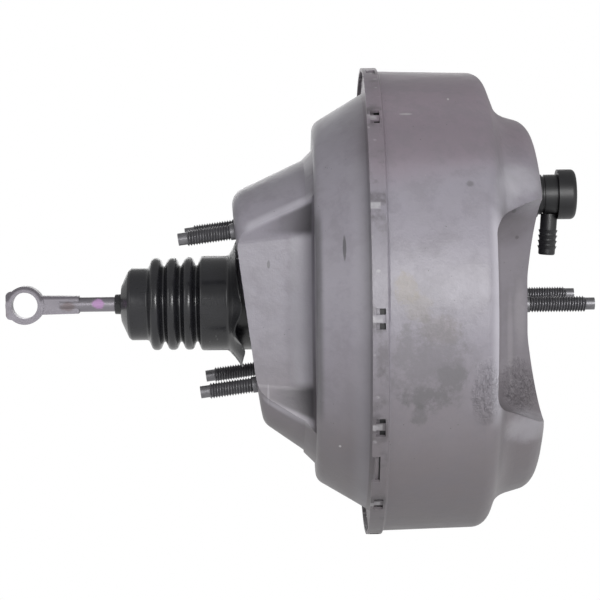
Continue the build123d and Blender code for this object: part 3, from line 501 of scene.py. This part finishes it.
def plated(name, dark, light, rough):
    """Plated or drawn steel of the inner pieces."""
    f = Finish(name)
    streak = f.grain(260.0, 4.0, 0.6, (1.0, 0.3, 1.0))
    cloud = f.grain(60.0, 4.0, 0.6)
    colour = f.mix(cloud, dark, light)
    return f.wear(
        Base_Color=colour, Metallic=0.9, Roughness=(rough + streak * 0.16).held(),
        Normal=f.bump(streak, 0.0001, 0.5))


def felt(name):
    """Open fibre of the air filter and silencer."""
    f = Finish(name)
    fibre = f.grain(700.0, 6.0, 0.75)
    colour = f.mix(fibre, (0.20, 0.19, 0.175), (0.40, 0.39, 0.36))
    return f.wear(Base_Color=colour, Roughness=0.95, Normal=f.bump(fibre, 0.0006, 0.9))


# ---------------------------------------------------------------- mesh helpers
def keep(name, mesh, material, smooth=35.0):
    """A finished object at the origin, with smooth faces and crisp corners."""
    mesh.polygons.foreach_set("use_smooth", [True] * len(mesh.polygons))
    mesh.set_sharp_from_angle(angle=radians(smooth))
    piece = bpy.data.objects.new(name, mesh)
    bpy.context.scene.collection.objects.link(piece)
    mesh.materials.clear()
    mesh.materials.append(material)
    return piece


def rounded(points, radii, steps=5):
    """A polyline with its corners turned into arcs of these radii."""
    line = [Vector(points[0])]
    for before, corner, after, radius in zip(points, points[1:], points[2:], radii):
        a, b, c = Vector(before), Vector(corner), Vector(after)
        to_a, to_c = (a - b).normalized(), (c - b).normalized()
        angle = to_a.angle(to_c)
        if radius <= 0 or angle > pi - 0.02:
            line.append(b)
            continue
        back = min(radius / tan(angle / 2), 0.49 * (a - b).length, 0.49 * (c - b).length)
        radius = back * tan(angle / 2)
        centre = b + (to_a + to_c).normalized() * (radius / sin(angle / 2))
        first = (b + to_a * back - centre).normalized()
        last = (b + to_c * back - centre).normalized()
        for step in range(steps + 1):
            line.append(centre + first.slerp(last, step / steps) * radius)
    line.append(Vector(points[-1]))
    return line


def outline(rows, steps=5):
    """A rounded outline from rows of (along, radius, rounding of that corner), all in mm."""
    points = [(along * MM, radius * MM) for along, radius, _ in rows]
    return rounded(points, [bend * MM for _, _, bend in rows[1:-1]], steps)


def turned(profile, sides, origin=(0, 0, 0), along=AXIS, warp=None):
    """A mesh turned about an axis: profile is (distance along, radius), closed into a ring."""
    origin, along = Vector(origin), Vector(along).normalized()
    up = UP if abs(along.z) < 0.9 else AXIS
    side = up.cross(along).normalized()
    up = along.cross(side)
    mesh = bpy.data.meshes.new("turned")
    bm = bmesh.new()
    rows = []
    for x, r in profile:
        row = []
        for k in range(sides):
            angle = 2 * pi * k / sides
            dx, dr = warp(x, r, angle) if warp else (0.0, 0.0)
            row.append(bm.verts.new(
                origin + along * (x + dx)
                + (side * sin(angle) + up * cos(angle)) * (r + dr)))
        rows.append(row)
    for a, b in zip(rows, rows[1:] + rows[:1]):
        for k in range(sides):
            j = (k + 1) % sides
            bm.faces.new((a[k], a[j], b[j], b[k]))
    bmesh.ops.recalc_face_normals(bm, faces=bm.faces)
    bm.to_mesh(mesh)
    bm.free()
    return mesh


def joined(meshes):
    """Several meshes as one."""
    bm = bmesh.new()
    for mesh in meshes:
        bm.from_mesh(mesh)
        bpy.data.meshes.remove(mesh)
    whole = bpy.data.meshes.new("joined")
    bm.to_mesh(whole)
    bm.free()
    return whole


def ease(t):
    """From 0 to 1 with a soft start and end."""
    t = min(max(t, 0.0), 1.0)
    return t * t * (3 - 2 * t)


# ---------------------------------------------------------------- node trees
def node_tree(name, sizes):
    """An empty geometry tree with these inputs, (name, kind, value), a turn and a material."""
    tree = bpy.data.node_groups.new(name, "GeometryNodeTree")
    tree.interface.new_socket("Geometry", in_out="INPUT", socket_type="NodeSocketGeometry")
    for label, kind, value in sizes:
        socket = tree.interface.new_socket(label, in_out="INPUT", socket_type="NodeSocket" + kind)
        socket.default_value = value
    for label, kind in (("Turn", "NodeSocketRotation"), ("Material", "NodeSocketMaterial")):
        tree.interface.new_socket(label, in_out="INPUT", socket_type=kind)
    tree.interface.new_socket("Geometry", in_out="OUTPUT", socket_type="NodeSocketGeometry")
    return tree, tree.nodes.new("NodeGroupInput").outputs


def add_node(tree, kind, settings=None, links=None, values=None):
    """A node of a geometry tree, with its settings, linked sockets and set sockets."""
    node = tree.nodes.new(kind)
    for key, value in (settings or {}).items():
        setattr(node, key, value)
    for key, source in (links or {}).items():
        tree.links.new(source, node.inputs[key])
    for key, value in (values or {}).items():
        node.inputs[key].default_value = value
    return node


def run_tree(name, tree, base, inputs):
    """The tree's result on a base mesh, as a plain mesh."""
    carrier = bpy.data.objects.new(name, base)
    bpy.context.scene.collection.objects.link(carrier)
    modifier = carrier.modifiers.new(name, "NODES")
    modifier.node_group = tree
    for item in tree.interface.items_tree:
        if item.item_type == "SOCKET" and item.in_out == "INPUT" and item.name in inputs:
            modifier[item.identifier] = inputs[item.name]
    shape = carrier.evaluated_get(bpy.context.evaluated_depsgraph_get())
    mesh = bpy.data.meshes.new_from_object(shape)
    carrier.modifiers.remove(modifier)
    bpy.data.objects.remove(carrier)
    return mesh


def set_out(tree, inputs, piece):
    """Ends a tree: the piece at each point, turned, made real and given its material."""
    placed = add_node(tree, "GeometryNodeInstanceOnPoints", links={
        "Points": inputs["Geometry"], "Instance": piece, "Rotation": inputs["Turn"]})
    solid = add_node(tree, "GeometryNodeRealizeInstances", links={0: placed.outputs[0]})
    painted = add_node(tree, "GeometryNodeSetMaterial", links={
        "Geometry": solid.outputs[0], "Material": inputs["Material"]})
    tree.links.new(painted.outputs[0], tree.nodes.new("NodeGroupOutput").inputs[0])


RIDGE_SHARE = 0.41               # half width of the thread's ridge, in pitches


def stud_tree():
    """Threaded studs: a thread of even pitch wound on a core, one at each point."""
    tree, inputs = node_tree("Threaded studs", (
        ("Reach", "Float", 0.03),
        ("Crest Radius", "Float", 0.0047),
        ("Depth", "Float", 0.0008),
        ("Pitch", "Float", 0.0016),
        ("Dog Radius", "Float", 0.0036),
        ("Dog Length", "Float", 0.0055),
        ("Shank", "Float", 0.003),
    ))

    def sums(operation, a, b):
        """A Math node on two sockets or numbers."""
        node = add_node(tree, "ShaderNodeMath", {"operation": operation})
        for socket, value in zip(node.inputs, (a, b)):
            if isinstance(value, (int, float)):
                socket.default_value = value
            else:
                tree.links.new(value, socket)
        return node.outputs[0]

    def cylinder(radius, length, foot=None):
        """A round length of the stud, from its foot."""
        shape = add_node(tree, "GeometryNodeMeshCylinder",
                         links={"Radius": radius, "Depth": length}, values={"Vertices": 32})
        middle = sums("MULTIPLY", length, 0.5)
        lift = add_node(tree, "ShaderNodeCombineXYZ", links={
            "Z": sums("ADD", foot, middle) if foot else middle})
        return add_node(tree, "GeometryNodeTransform", links={
            "Geometry": shape.outputs["Mesh"], "Translation": lift.outputs[0]})

    length = sums("SUBTRACT", inputs["Reach"], inputs["Dog Length"])
    turns = sums("DIVIDE", length, inputs["Pitch"])
    root = sums("SUBTRACT", inputs["Crest Radius"], inputs["Depth"])
    half = sums("MULTIPLY", inputs["Pitch"], RIDGE_SHARE)
    spiral = add_node(tree, "GeometryNodeCurveSpiral", links={
        "Rotations": turns, "Start Radius": root, "End Radius": root, "Height": length},
        values={"Resolution": 30})
    upright = add_node(tree, "GeometryNodeSetCurveNormal", {"mode": "Z_UP"},
                       {"Curve": spiral.outputs[0]})
    ridge = add_node(tree, "GeometryNodeCurvePrimitiveCircle",
                     {"mode": "RADIUS"}, {"Radius": half}, {"Resolution": 4})
    flat = sums("DIVIDE", inputs["Depth"], half)
    spread = add_node(tree, "ShaderNodeCombineXYZ", links={"X": flat}, values={"Y": 1.0, "Z": 1.0})
    shaped = add_node(tree, "GeometryNodeTransform",
                      links={"Geometry": ridge.outputs[0], "Scale": spread.outputs[0]})
    thread = add_node(tree, "GeometryNodeCurveToMesh",
                      links={"Curve": upright.outputs[0], "Profile Curve": shaped.outputs[0]},
                      values={"Fill Caps": True})
    core = cylinder(root, length)
    dog = cylinder(inputs["Dog Radius"], inputs["Dog Length"], length)
    shank = cylinder(inputs["Crest Radius"], inputs["Shank"])
    join = tree.nodes.new("GeometryNodeJoinGeometry")
    for piece in (shank, dog, core, thread):
        tree.links.new(piece.outputs[0], join.inputs[0])
    set_out(tree, inputs, join.outputs[0])
    return tree


def rib_tree():
    """Rings of one profile, set along a line of points and joined into one mesh."""
    tree, inputs = node_tree("Hose barbs", (
        ("Count", "Int", 4),
        ("Pitch", "Float", 0.0032),
        ("Base Radius", "Float", 0.0058),
        ("Tip Radius", "Float", 0.0050),
        ("Height", "Float", 0.0025),
    ))
    step = add_node(tree, "ShaderNodeCombineXYZ", links={"Z": inputs["Pitch"]})
    line = add_node(tree, "GeometryNodeMeshLine", {"mode": "OFFSET"},
                    {"Count": inputs["Count"], "Offset": step.outputs[0]})
    barb = add_node(tree, "GeometryNodeMeshCone", links={
        "Radius Bottom": inputs["Base Radius"], "Radius Top": inputs["Tip Radius"],
        "Depth": inputs["Height"]}, values={"Vertices": 48, "Side Segments": 2})
    row = add_node(tree, "GeometryNodeInstanceOnPoints",
                   links={"Points": line.outputs[0], "Instance": barb.outputs["Mesh"]})
    set_out(tree, inputs, row.outputs[0])
    return tree


def points_mesh(points):
    """A mesh of loose points, for a tree to set its pieces on."""
    mesh = bpy.data.meshes.new("points")
    mesh.from_pydata([tuple(p) for p in points], [], [])
    return mesh


# ---------------------------------------------------------------- nodes of the frame
def record_slot(node):
    """The material slot that the record gives a node."""
    return next(s["material_slot"] for s in frame["record"]["subparts"] if s["node"] == node)


def dress(node, material):
    """Gives a node of the frame its finish."""
    piece = frame["nodes"][node]
    piece.data.materials.clear()
    piece.data.materials.append(material)
    record_slot(node)


def coil(node, wire):
    """A spring's mesh from the frame's node, with doubled points merged, in place of that node."""
    bm = bmesh.new()
    bm.from_mesh(frame["nodes"][node].data)
    bmesh.ops.remove_doubles(bm, verts=bm.verts, dist=MM / 1000)
    mesh = bpy.data.meshes.new(node)
    bm.to_mesh(mesh)
    bm.free()
    spring = keep("coiled_" + node, mesh, wire)
    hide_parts(node)
    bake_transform(spring)
    record_slot(node)


# ---------------------------------------------------------------- operators
class BOOSTER_OT_shells(bpy.types.Operator):
    """Paints the two pressed shells"""

    bl_idname = "booster.shells"
    bl_label = "Paint the shells"

    def execute(self, context):
        paint = shell_paint(context.scene.booster_paint)
        for node in ("front_shell", "rear_shell"):
            dress(node, paint)
        return {"FINISHED"}


class BOOSTER_OT_studs(bpy.types.Operator):
    """Cuts the threads of the firewall and master cylinder studs"""

    bl_idname = "booster.studs"
    bl_label = "Thread the studs"

    def execute(self, context):
        sizes = context.scene.booster_studs
        phosphate = stud_phosphate()
        tree = stud_tree()
        offset = FIREWALL_STUD_OFFSET
        firewall = [
            Vector((FACE_X, side * offset, 0)) + FACE_UP * (end * offset)
            for side in (-1, 1) for end in (-1, 1)
        ]
        master = [Vector((0, side * MASTER_STUD_OFFSET, 0)) for side in (-1, 1)]
        for node, places, out, reach in (
            ("firewall_studs", firewall, FACE_OUT, FIREWALL_STUD_REACH),
            ("master_cylinder_studs", master, AXIS, MASTER_STUD_REACH),
        ):
            mesh = run_tree(node, tree, points_mesh(places), {
                "Reach": reach, "Crest Radius": sizes.radius, "Depth": sizes.depth,
                "Pitch": sizes.pitch, "Dog Radius": sizes.dog_radius,
                "Dog Length": sizes.dog_length, "Shank": sizes.shank,
                "Turn": UP.rotation_difference(out).to_euler(),
                "Material": phosphate,
            })
            piece = keep("threaded_" + node, mesh, phosphate, 25)
            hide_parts(node)
            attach(piece, "housing")
        return {"FINISHED"}


# The boot, in mm along X from its rear end
BOOT_SPLIT, CUFF_FRONT = -230.4, -221.3  # the plain cuff, from where the end wall is split off
BOOT_CUFF = 21.9                 # radius of that cuff
BOOT_FOLDS, FIRST_FOLD, FOLD_PITCH = 3, -216.6, 9.85
CREST_HALF = 2.2                 # half the flat on a fold's crest
VALLEY, LAST_VALLEY = (4.3, 5.55), (-192.8, -191.6)  # after a crest, and before the sleeve
SLEEVE_REAR, SLEEVE_FRONT = -189.6, -172.4
LIP_SHARE = 0.6                  # thickness of the flared lip, as a share of the boot's
LIP_LEAN, LIP_TILT = 5.4, 1.5    # forwards, and how that changes from top to bottom
LIP_BUCKLE = 2.6                 # height of the buckle on the near side
LIP_WAVES = ((0.5, 5, 1.9), (0.3, 8, 0.0))  # height, waves round the lip, and where they start
COLLAR_RISE = 11.7               # of the collar under the lip, from top to bottom
# Rows of (along, radius, rounding), in mm
BOOT_NOSE = ((-238.2, 6.0, 0), (-237.6, 11.0, 2.5), (-233.2, 20.6, 1.5),
             (-231.6, BOOT_CUFF, 1.5), (BOOT_SPLIT, BOOT_CUFF, 0))
BOOT_NECK = ((-241.7, 4.75, 0), (-241.7, 6.0, 0.5), (-237.2, 6.2, 0.4), (-235.9, 8.4, 0.4),
             (-235.4, 8.4, 0.1), (-235.4, 4.75, 0))


class BOOSTER_OT_boot(bpy.types.Operator):
    """Moulds the ribbed rubber boot"""

    bl_idname = "booster.boot"
    bl_label = "Mould the boot"

    def execute(self, context):
        sizes = context.scene.booster_boot
        rubber = moulded("boot_rubber", (0.009, 0.009, 0.011), (0.020, 0.020, 0.024), 45.0, 0.27,
                         0.5, 0.0002)
        crest, root, sleeve, flare = (
            size / MM for size in (sizes.peak, sizes.valley, sizes.sleeve, sizes.flare))
        folds = [(BOOT_SPLIT, BOOT_CUFF, 0), (CUFF_FRONT, BOOT_CUFF, 2.2)]
        for fold in range(BOOT_FOLDS):
            x = FIRST_FOLD + fold * FOLD_PITCH
            folds += [(x - CREST_HALF, crest, 2.6), (x + CREST_HALF, crest, 2.6),
                      *((x + step, root, 0.8) for step in VALLEY)]
        folds[-2:] = [(place, root, 0.8) for place in LAST_VALLEY]
        folds += [(SLEEVE_REAR, sleeve, 2.0), (SLEEVE_FRONT - 0.4, sleeve, 3.0),
                  (SLEEVE_FRONT, sleeve + 4, 2.0), (SLEEVE_FRONT, flare, 0)]

        def walled(skin):
            """A closed profile: the skin's points out, and back along the rubber's inner face."""
            inner = []
            for i, point in enumerate(skin):
                before, after = skin[max(i - 1, 0)], skin[min(i + 1, len(skin) - 1)]
                along = (after - before).normalized()
                thick = sizes.wall * (LIP_SHARE if point.y > sizes.sleeve + 2 * MM else 1.0)
                inner.append((point.x + along.y * thick, point.y - along.x * thick))
            return [(point.x, point.y) for point in skin] + inner[::-1]

        def warp(x, r, angle):
            """The thin lip round the sleeve's end leans with the tilted face, and waves, in mm."""
            if x <= (SLEEVE_FRONT - 3) * MM:
                return 0.0, 0.0
            out = ease((r - sizes.sleeve) / (sizes.flare - sizes.sleeve)) * MM
            near = 2 * pi - angle
            buckle = cos((near - pi / 2) * 7.7) * exp(-(((near - 2.0) / 0.6) ** 2))
            waves = sum(height * sin(n * angle + begin) for height, n, begin in LIP_WAVES)
            lean = LIP_LEAN - LIP_TILT * cos(angle) + LIP_BUCKLE * buckle + waves
            return out * lean, out * 0.4 * sin(4 * angle)

        def seat(x, r, angle):
            """The collar under the lip ends along the tilted face."""
            rise = COLLAR_RISE * MM * (1 - cos(angle)) / 2
            return (rise if x > SLEEVE_FRONT * MM else 0.0), 0.0

        mesh = turned(walled(outline(folds, 6)), 128, warp=warp)
        rear, front = SLEEVE_FRONT - 2.0, SLEEVE_FRONT + 3.2
        inside, outside = sleeve - 1.1, sleeve - 0.2
        collar = [(x * MM, r * MM) for x, r in (
            (rear, inside), (rear, outside), (front, outside), (front, inside))]
        boot = keep("boot_bellows", joined([mesh, turned(collar, 128, warp=seat)]), rubber, 50)
        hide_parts("boot")
        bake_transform(boot)
        end_wall = keep("boot_nose", turned(walled(outline(BOOT_NOSE, 6)), 128), rubber, 50)
        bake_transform(end_wall)
        neck = keep("boot_neck", turned(outline(BOOT_NECK), 64), rubber, 50)
        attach(neck, "pedal_rod")
        return {"FINISHED"}


class BOOSTER_OT_rod(bpy.types.Operator):
    """Gives the pedal rod its forged finish"""

    bl_idname = "booster.rod"
    bl_label = "Finish the pedal rod"

    def execute(self, context):
        dress("input_rod", rod_steel(context.scene.booster_paint))
        return {"FINISHED"}


# The check valve's body and nipple: rows of (along, radius, rounding), in mm
VALVE_BODY = ((2.7, 4.0, 0), (2.7, 6.5, 0.2), (12.95, 6.5, 0.1), (12.95, 12.0, 0.1),
              (15.6, 12.0, 0.5), (15.6, 11.0, 0.3), (17.0, 11.0, 0.1), (17.0, 12.0, 0.1),
              (24.9, 12.0, 0.3), (24.9, 10.0, 0.1), (14.9, 10.0, 0.1), (14.9, 4.0, 0))
NIPPLE_REACH = 36.5              # below the valve's axis
NIPPLE_STEM = ((11.6, 2.6, 0), (11.6, 5.0, 0.1), (36.4, 5.0, 2.0), (36.4, 2.6, 0))
BARBS, BARB_PITCH, BARB_LENGTH = 4, 3.2, 2.4
BARB_RADIUS, BARB_TIP_RADIUS = 5.78, 4.9
PLAIN_END, BARB_SHIFT = 3.0, 0.6  # past the last barb, and of all barbs towards that end


class BOOSTER_OT_check_valve(bpy.types.Operator):
    """Moulds the check valve and its barbed nipple"""

    bl_idname = "booster.check_valve"
    bl_label = "Mould the check valve"

    def execute(self, context):
        nylon = moulded("check_valve_nylon", (0.006, 0.006, 0.007), (0.014, 0.014, 0.016), 70.0,
                        0.44, 0.25, 0.0001)
        body = turned(outline(VALVE_BODY), 80, (0, 0, VALVE_HEIGHT))
        down = Vector((-sin(NIPPLE_LEAN), 0, -cos(NIPPLE_LEAN)))
        root = Vector((NIPPLE_X, 0, VALVE_HEIGHT))
        stem = turned(outline(NIPPLE_STEM), 48, root, down)
        first = NIPPLE_REACH - PLAIN_END - BARBS * BARB_PITCH + BARB_SHIFT
        barbs = run_tree("barbs", rib_tree(), points_mesh([root + down * first * MM]), {
            "Count": BARBS, "Pitch": BARB_PITCH * MM, "Base Radius": BARB_RADIUS * MM,
            "Tip Radius": BARB_TIP_RADIUS * MM, "Height": BARB_LENGTH * MM,
            "Turn": UP.rotation_difference(down).to_euler(), "Material": nylon,
        })
        piece = keep("check_valve_elbow", joined([body, stem, barbs]), nylon, 35)
        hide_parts("check_valve_body")
        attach(piece, "check_valve")
        dress("check_valve_cap", nylon)
        return {"FINISHED"}


class BOOSTER_OT_inside(bpy.types.Operator):
    """Finishes the pieces inside the shells"""

    bl_idname = "booster.inside"
    bl_label = "Finish the inner pieces"

    def execute(self, context):
        rubber = moulded("seal_rubber", (0.014, 0.014, 0.015), (0.030, 0.030, 0.032), 80.0, 0.55)
        phenolic = moulded(
            "valve_phenolic", (0.030, 0.030, 0.032), (0.060, 0.058, 0.056), 60.0, 0.45)
        zinc = plated("zinc_plate", (0.32, 0.30, 0.25), (0.52, 0.49, 0.40), 0.30)
        turned_steel = plated("turned_steel", (0.30, 0.29, 0.28), (0.48, 0.47, 0.46), 0.26)
        wire = plated("spring_wire", (0.18, 0.18, 0.19), (0.34, 0.34, 0.35), 0.30)
        fibre = felt("filter_felt")
        groups = {
            rubber: ("diaphragm", "rear_seal", "front_seal", "poppet_valve", "reaction_disc",
                     "check_valve_grommet", "check_valve_disc"),
            phenolic: ("valve_body", "poppet_retainer", "rear_bearing"),
            zinc: ("rear_stud_plate", "front_stud_plate", "diaphragm_plate",
                   "output_rod_retainer", "valve_key"),
            turned_steel: ("output_rod", "output_rod_screw", "valve_plunger"),
            wire: ("poppet_spring",),
            fibre: ("air_filter", "air_silencer"),
        }
        for material, nodes in groups.items():
            for node in nodes:
                dress(node, material)
        coil("return_spring", wire)
        coil("check_valve_spring", wire)
        coil("rod_return_spring", wire)
        return {"FINISHED"}


# ---------------------------------------------------------------- stage
WHITE = (1, 1, 1, 1)
VIEW_MIDDLE = Vector((-130.23 * MM, 0, 1.17 * MM))
VIEW_ROLL = radians(-0.67)
FRAME_PIXELS, FOCAL_PIXELS, SENSOR = 600.0, 2071.6, 36.0
FLOOR_GREY, FLOOR_HALF_WIDTH, FLOOR_DROP = (0.55, 0.55, 0.55), 3.0, 0.002
ROOM_LIGHT, ROOM_SHEEN = 0.20, 0.5  # strengths on the object and in its gloss
# Name, place, width and height, and share of the key lamp's power
LAMPS = (
    ("key", (0.26, -1.7, 0.34), (0.6, 0.5), 1.0),
    ("right", (1.4, -0.9, 0.3), (0.9, 1.0), 0.20),
    ("left", (-1.5, -1.1, 0.4), (0.9, 0.9), 0.30),
    ("back", (-0.3, 1.8, 0.5), (1.2, 0.9), 0.45),
)


def place_camera(scene, sizes):
    """A camera square to the booster's axis, a little above it and slightly rolled."""
    elevation, yaw = sizes.elevation, sizes.yaw
    look = Vector((sin(yaw) * cos(elevation), cos(yaw) * cos(elevation), -sin(elevation)))
    right = Vector((cos(yaw), -sin(yaw), 0))
    up = right.cross(look)
    right, up = (right * cos(VIEW_ROLL) + up * sin(VIEW_ROLL),
                 up * cos(VIEW_ROLL) - right * sin(VIEW_ROLL))
    data = bpy.data.cameras.new("camera")
    data.sensor_width = SENSOR
    data.lens = FOCAL_PIXELS * SENSOR / FRAME_PIXELS
    data.clip_end = 20.0
    camera = bpy.data.objects.new("camera", data)
    camera.matrix_world = Matrix.Translation(VIEW_MIDDLE - look * sizes.distance) @ Matrix(
        (right, up, -look)).transposed().to_4x4()
    scene.collection.objects.link(camera)
    scene.camera = camera


def lay_floor(scene):
    """A pale floor that keeps the shadow and looks white to the camera and in gloss."""
    ground = Finish("ground")
    ground.wear(Base_Color=FLOOR_GREY, Roughness=0.9)
    tree = ground.tree
    glow = tree.nodes.new("ShaderNodeEmission")
    glow.inputs["Color"].default_value = WHITE
    path = tree.nodes.new("ShaderNodeLightPath")
    blend = tree.nodes.new("ShaderNodeMixShader")
    output = next(n for n in tree.nodes if n.type == "OUTPUT_MATERIAL")
    seen = Field(ground, path.outputs["Is Camera Ray"]) + Field(
        ground, path.outputs["Is Glossy Ray"]) + Field(
        ground, path.outputs["Is Transmission Ray"])
    tree.links.new(seen.held().socket, blend.inputs[0])
    tree.links.new(ground.shader.outputs[0], blend.inputs[1])
    tree.links.new(glow.outputs[0], blend.inputs[2])
    tree.links.new(blend.outputs[0], output.inputs[0])
    mesh = bpy.data.meshes.new("floor")
    level, reach = cad_box[0][2] - FLOOR_DROP, FLOOR_HALF_WIDTH
    mesh.from_pydata([(-reach, -reach, level), (reach, -reach, level), (reach, reach, level),
                      (-reach, reach, level)], [], [(0, 1, 2, 3)])
    floor = bpy.data.objects.new("floor", mesh)
    mesh.materials.append(ground.material)
    scene.collection.objects.link(floor)


def light_world(scene):
    """A dim white room, brighter in gloss and white to the camera."""
    world = bpy.data.worlds.new("studio")
    scene.world = world
    world.use_nodes = True
    nodes, links = world.node_tree.nodes, world.node_tree.links
    nodes.clear()
    out = nodes.new("ShaderNodeOutputWorld")
    rays = nodes.new("ShaderNodeLightPath").outputs

    def glow(strength):
        """A white light of this strength."""
        light = nodes.new("ShaderNodeBackground")
        light.inputs["Color"].default_value = WHITE
        light.inputs["Strength"].default_value = strength
        return light

    shown = glow(ROOM_LIGHT)
    for ray, strength in (("Is Glossy Ray", ROOM_SHEEN), ("Is Camera Ray", 1.0)):
        choose = nodes.new("ShaderNodeMixShader")
        links.new(rays[ray], choose.inputs[0])
        links.new(shown.outputs[0], choose.inputs[1])
        links.new(glow(strength).outputs[0], choose.inputs[2])
        shown = choose
    links.new(shown.outputs[0], out.inputs[0])


def hang_lamps(scene, power):
    """Large soft lamps, all aimed at the middle of the view."""
    for name, place, size, share in LAMPS:
        lamp = bpy.data.lights.new(name, "AREA")
        lamp.shape = "RECTANGLE"
        lamp.size, lamp.size_y = size
        lamp.energy = power * share
        holder = bpy.data.objects.new(name, lamp)
        aim = (VIEW_MIDDLE - Vector(place)).normalized()
        holder.matrix_world = Matrix.Translation(place) @ aim.to_track_quat(
            "-Z", "Y").to_matrix().to_4x4()
        scene.collection.objects.link(holder)


class BOOSTER_OT_stage(bpy.types.Operator):
    """Sets the floor, the lamps and the camera"""

    bl_idname = "booster.stage"
    bl_label = "Set the stage"

    def execute(self, context):
        sizes = context.scene.booster_stage
        context.scene.view_settings.view_transform = "Standard"
        place_camera(context.scene, sizes)
        lay_floor(context.scene)
        light_world(context.scene)
        hang_lamps(context.scene, sizes.key)
        return {"FINISHED"}


class BOOSTER_PT_panel(bpy.types.Panel):
    """Lists the booster's operators"""

    bl_label = "Brake booster"
    bl_idname = "BOOSTER_PT_panel"
    bl_space_type = "VIEW_3D"
    bl_region_type = "UI"
    bl_category = "Booster"

    def draw(self, context):
        for step in STEPS:
            self.layout.operator(step.bl_idname)


STEPS = (
    BOOSTER_OT_shells,
    BOOSTER_OT_studs,
    BOOSTER_OT_boot,
    BOOSTER_OT_rod,
    BOOSTER_OT_check_valve,
    BOOSTER_OT_inside,
    BOOSTER_OT_stage,
)
GROUPS = {
    "booster_paint": BoosterPaint,
    "booster_studs": BoosterStuds,
    "booster_boot": BoosterBoot,
    "booster_stage": BoosterStage,
}


def register():
    for group in GROUPS.values():
        bpy.utils.register_class(group)
    for name, group in GROUPS.items():
        setattr(bpy.types.Scene, name, bpy.props.PointerProperty(type=group))
    for step in STEPS:
        bpy.utils.register_class(step)
    bpy.utils.register_class(BOOSTER_PT_panel)


def unregister():
    bpy.utils.unregister_class(BOOSTER_PT_panel)
    for step in reversed(STEPS):
        bpy.utils.unregister_class(step)
    for name, group in GROUPS.items():
        delattr(bpy.types.Scene, name)
        bpy.utils.unregister_class(group)


def main():
    """Registers the classes and builds everything in order."""
    register()
    for step in STEPS:
        group, name = step.bl_idname.split(".")
        getattr(getattr(bpy.ops, group), name)()


if __name__ == "__main__":
    main()
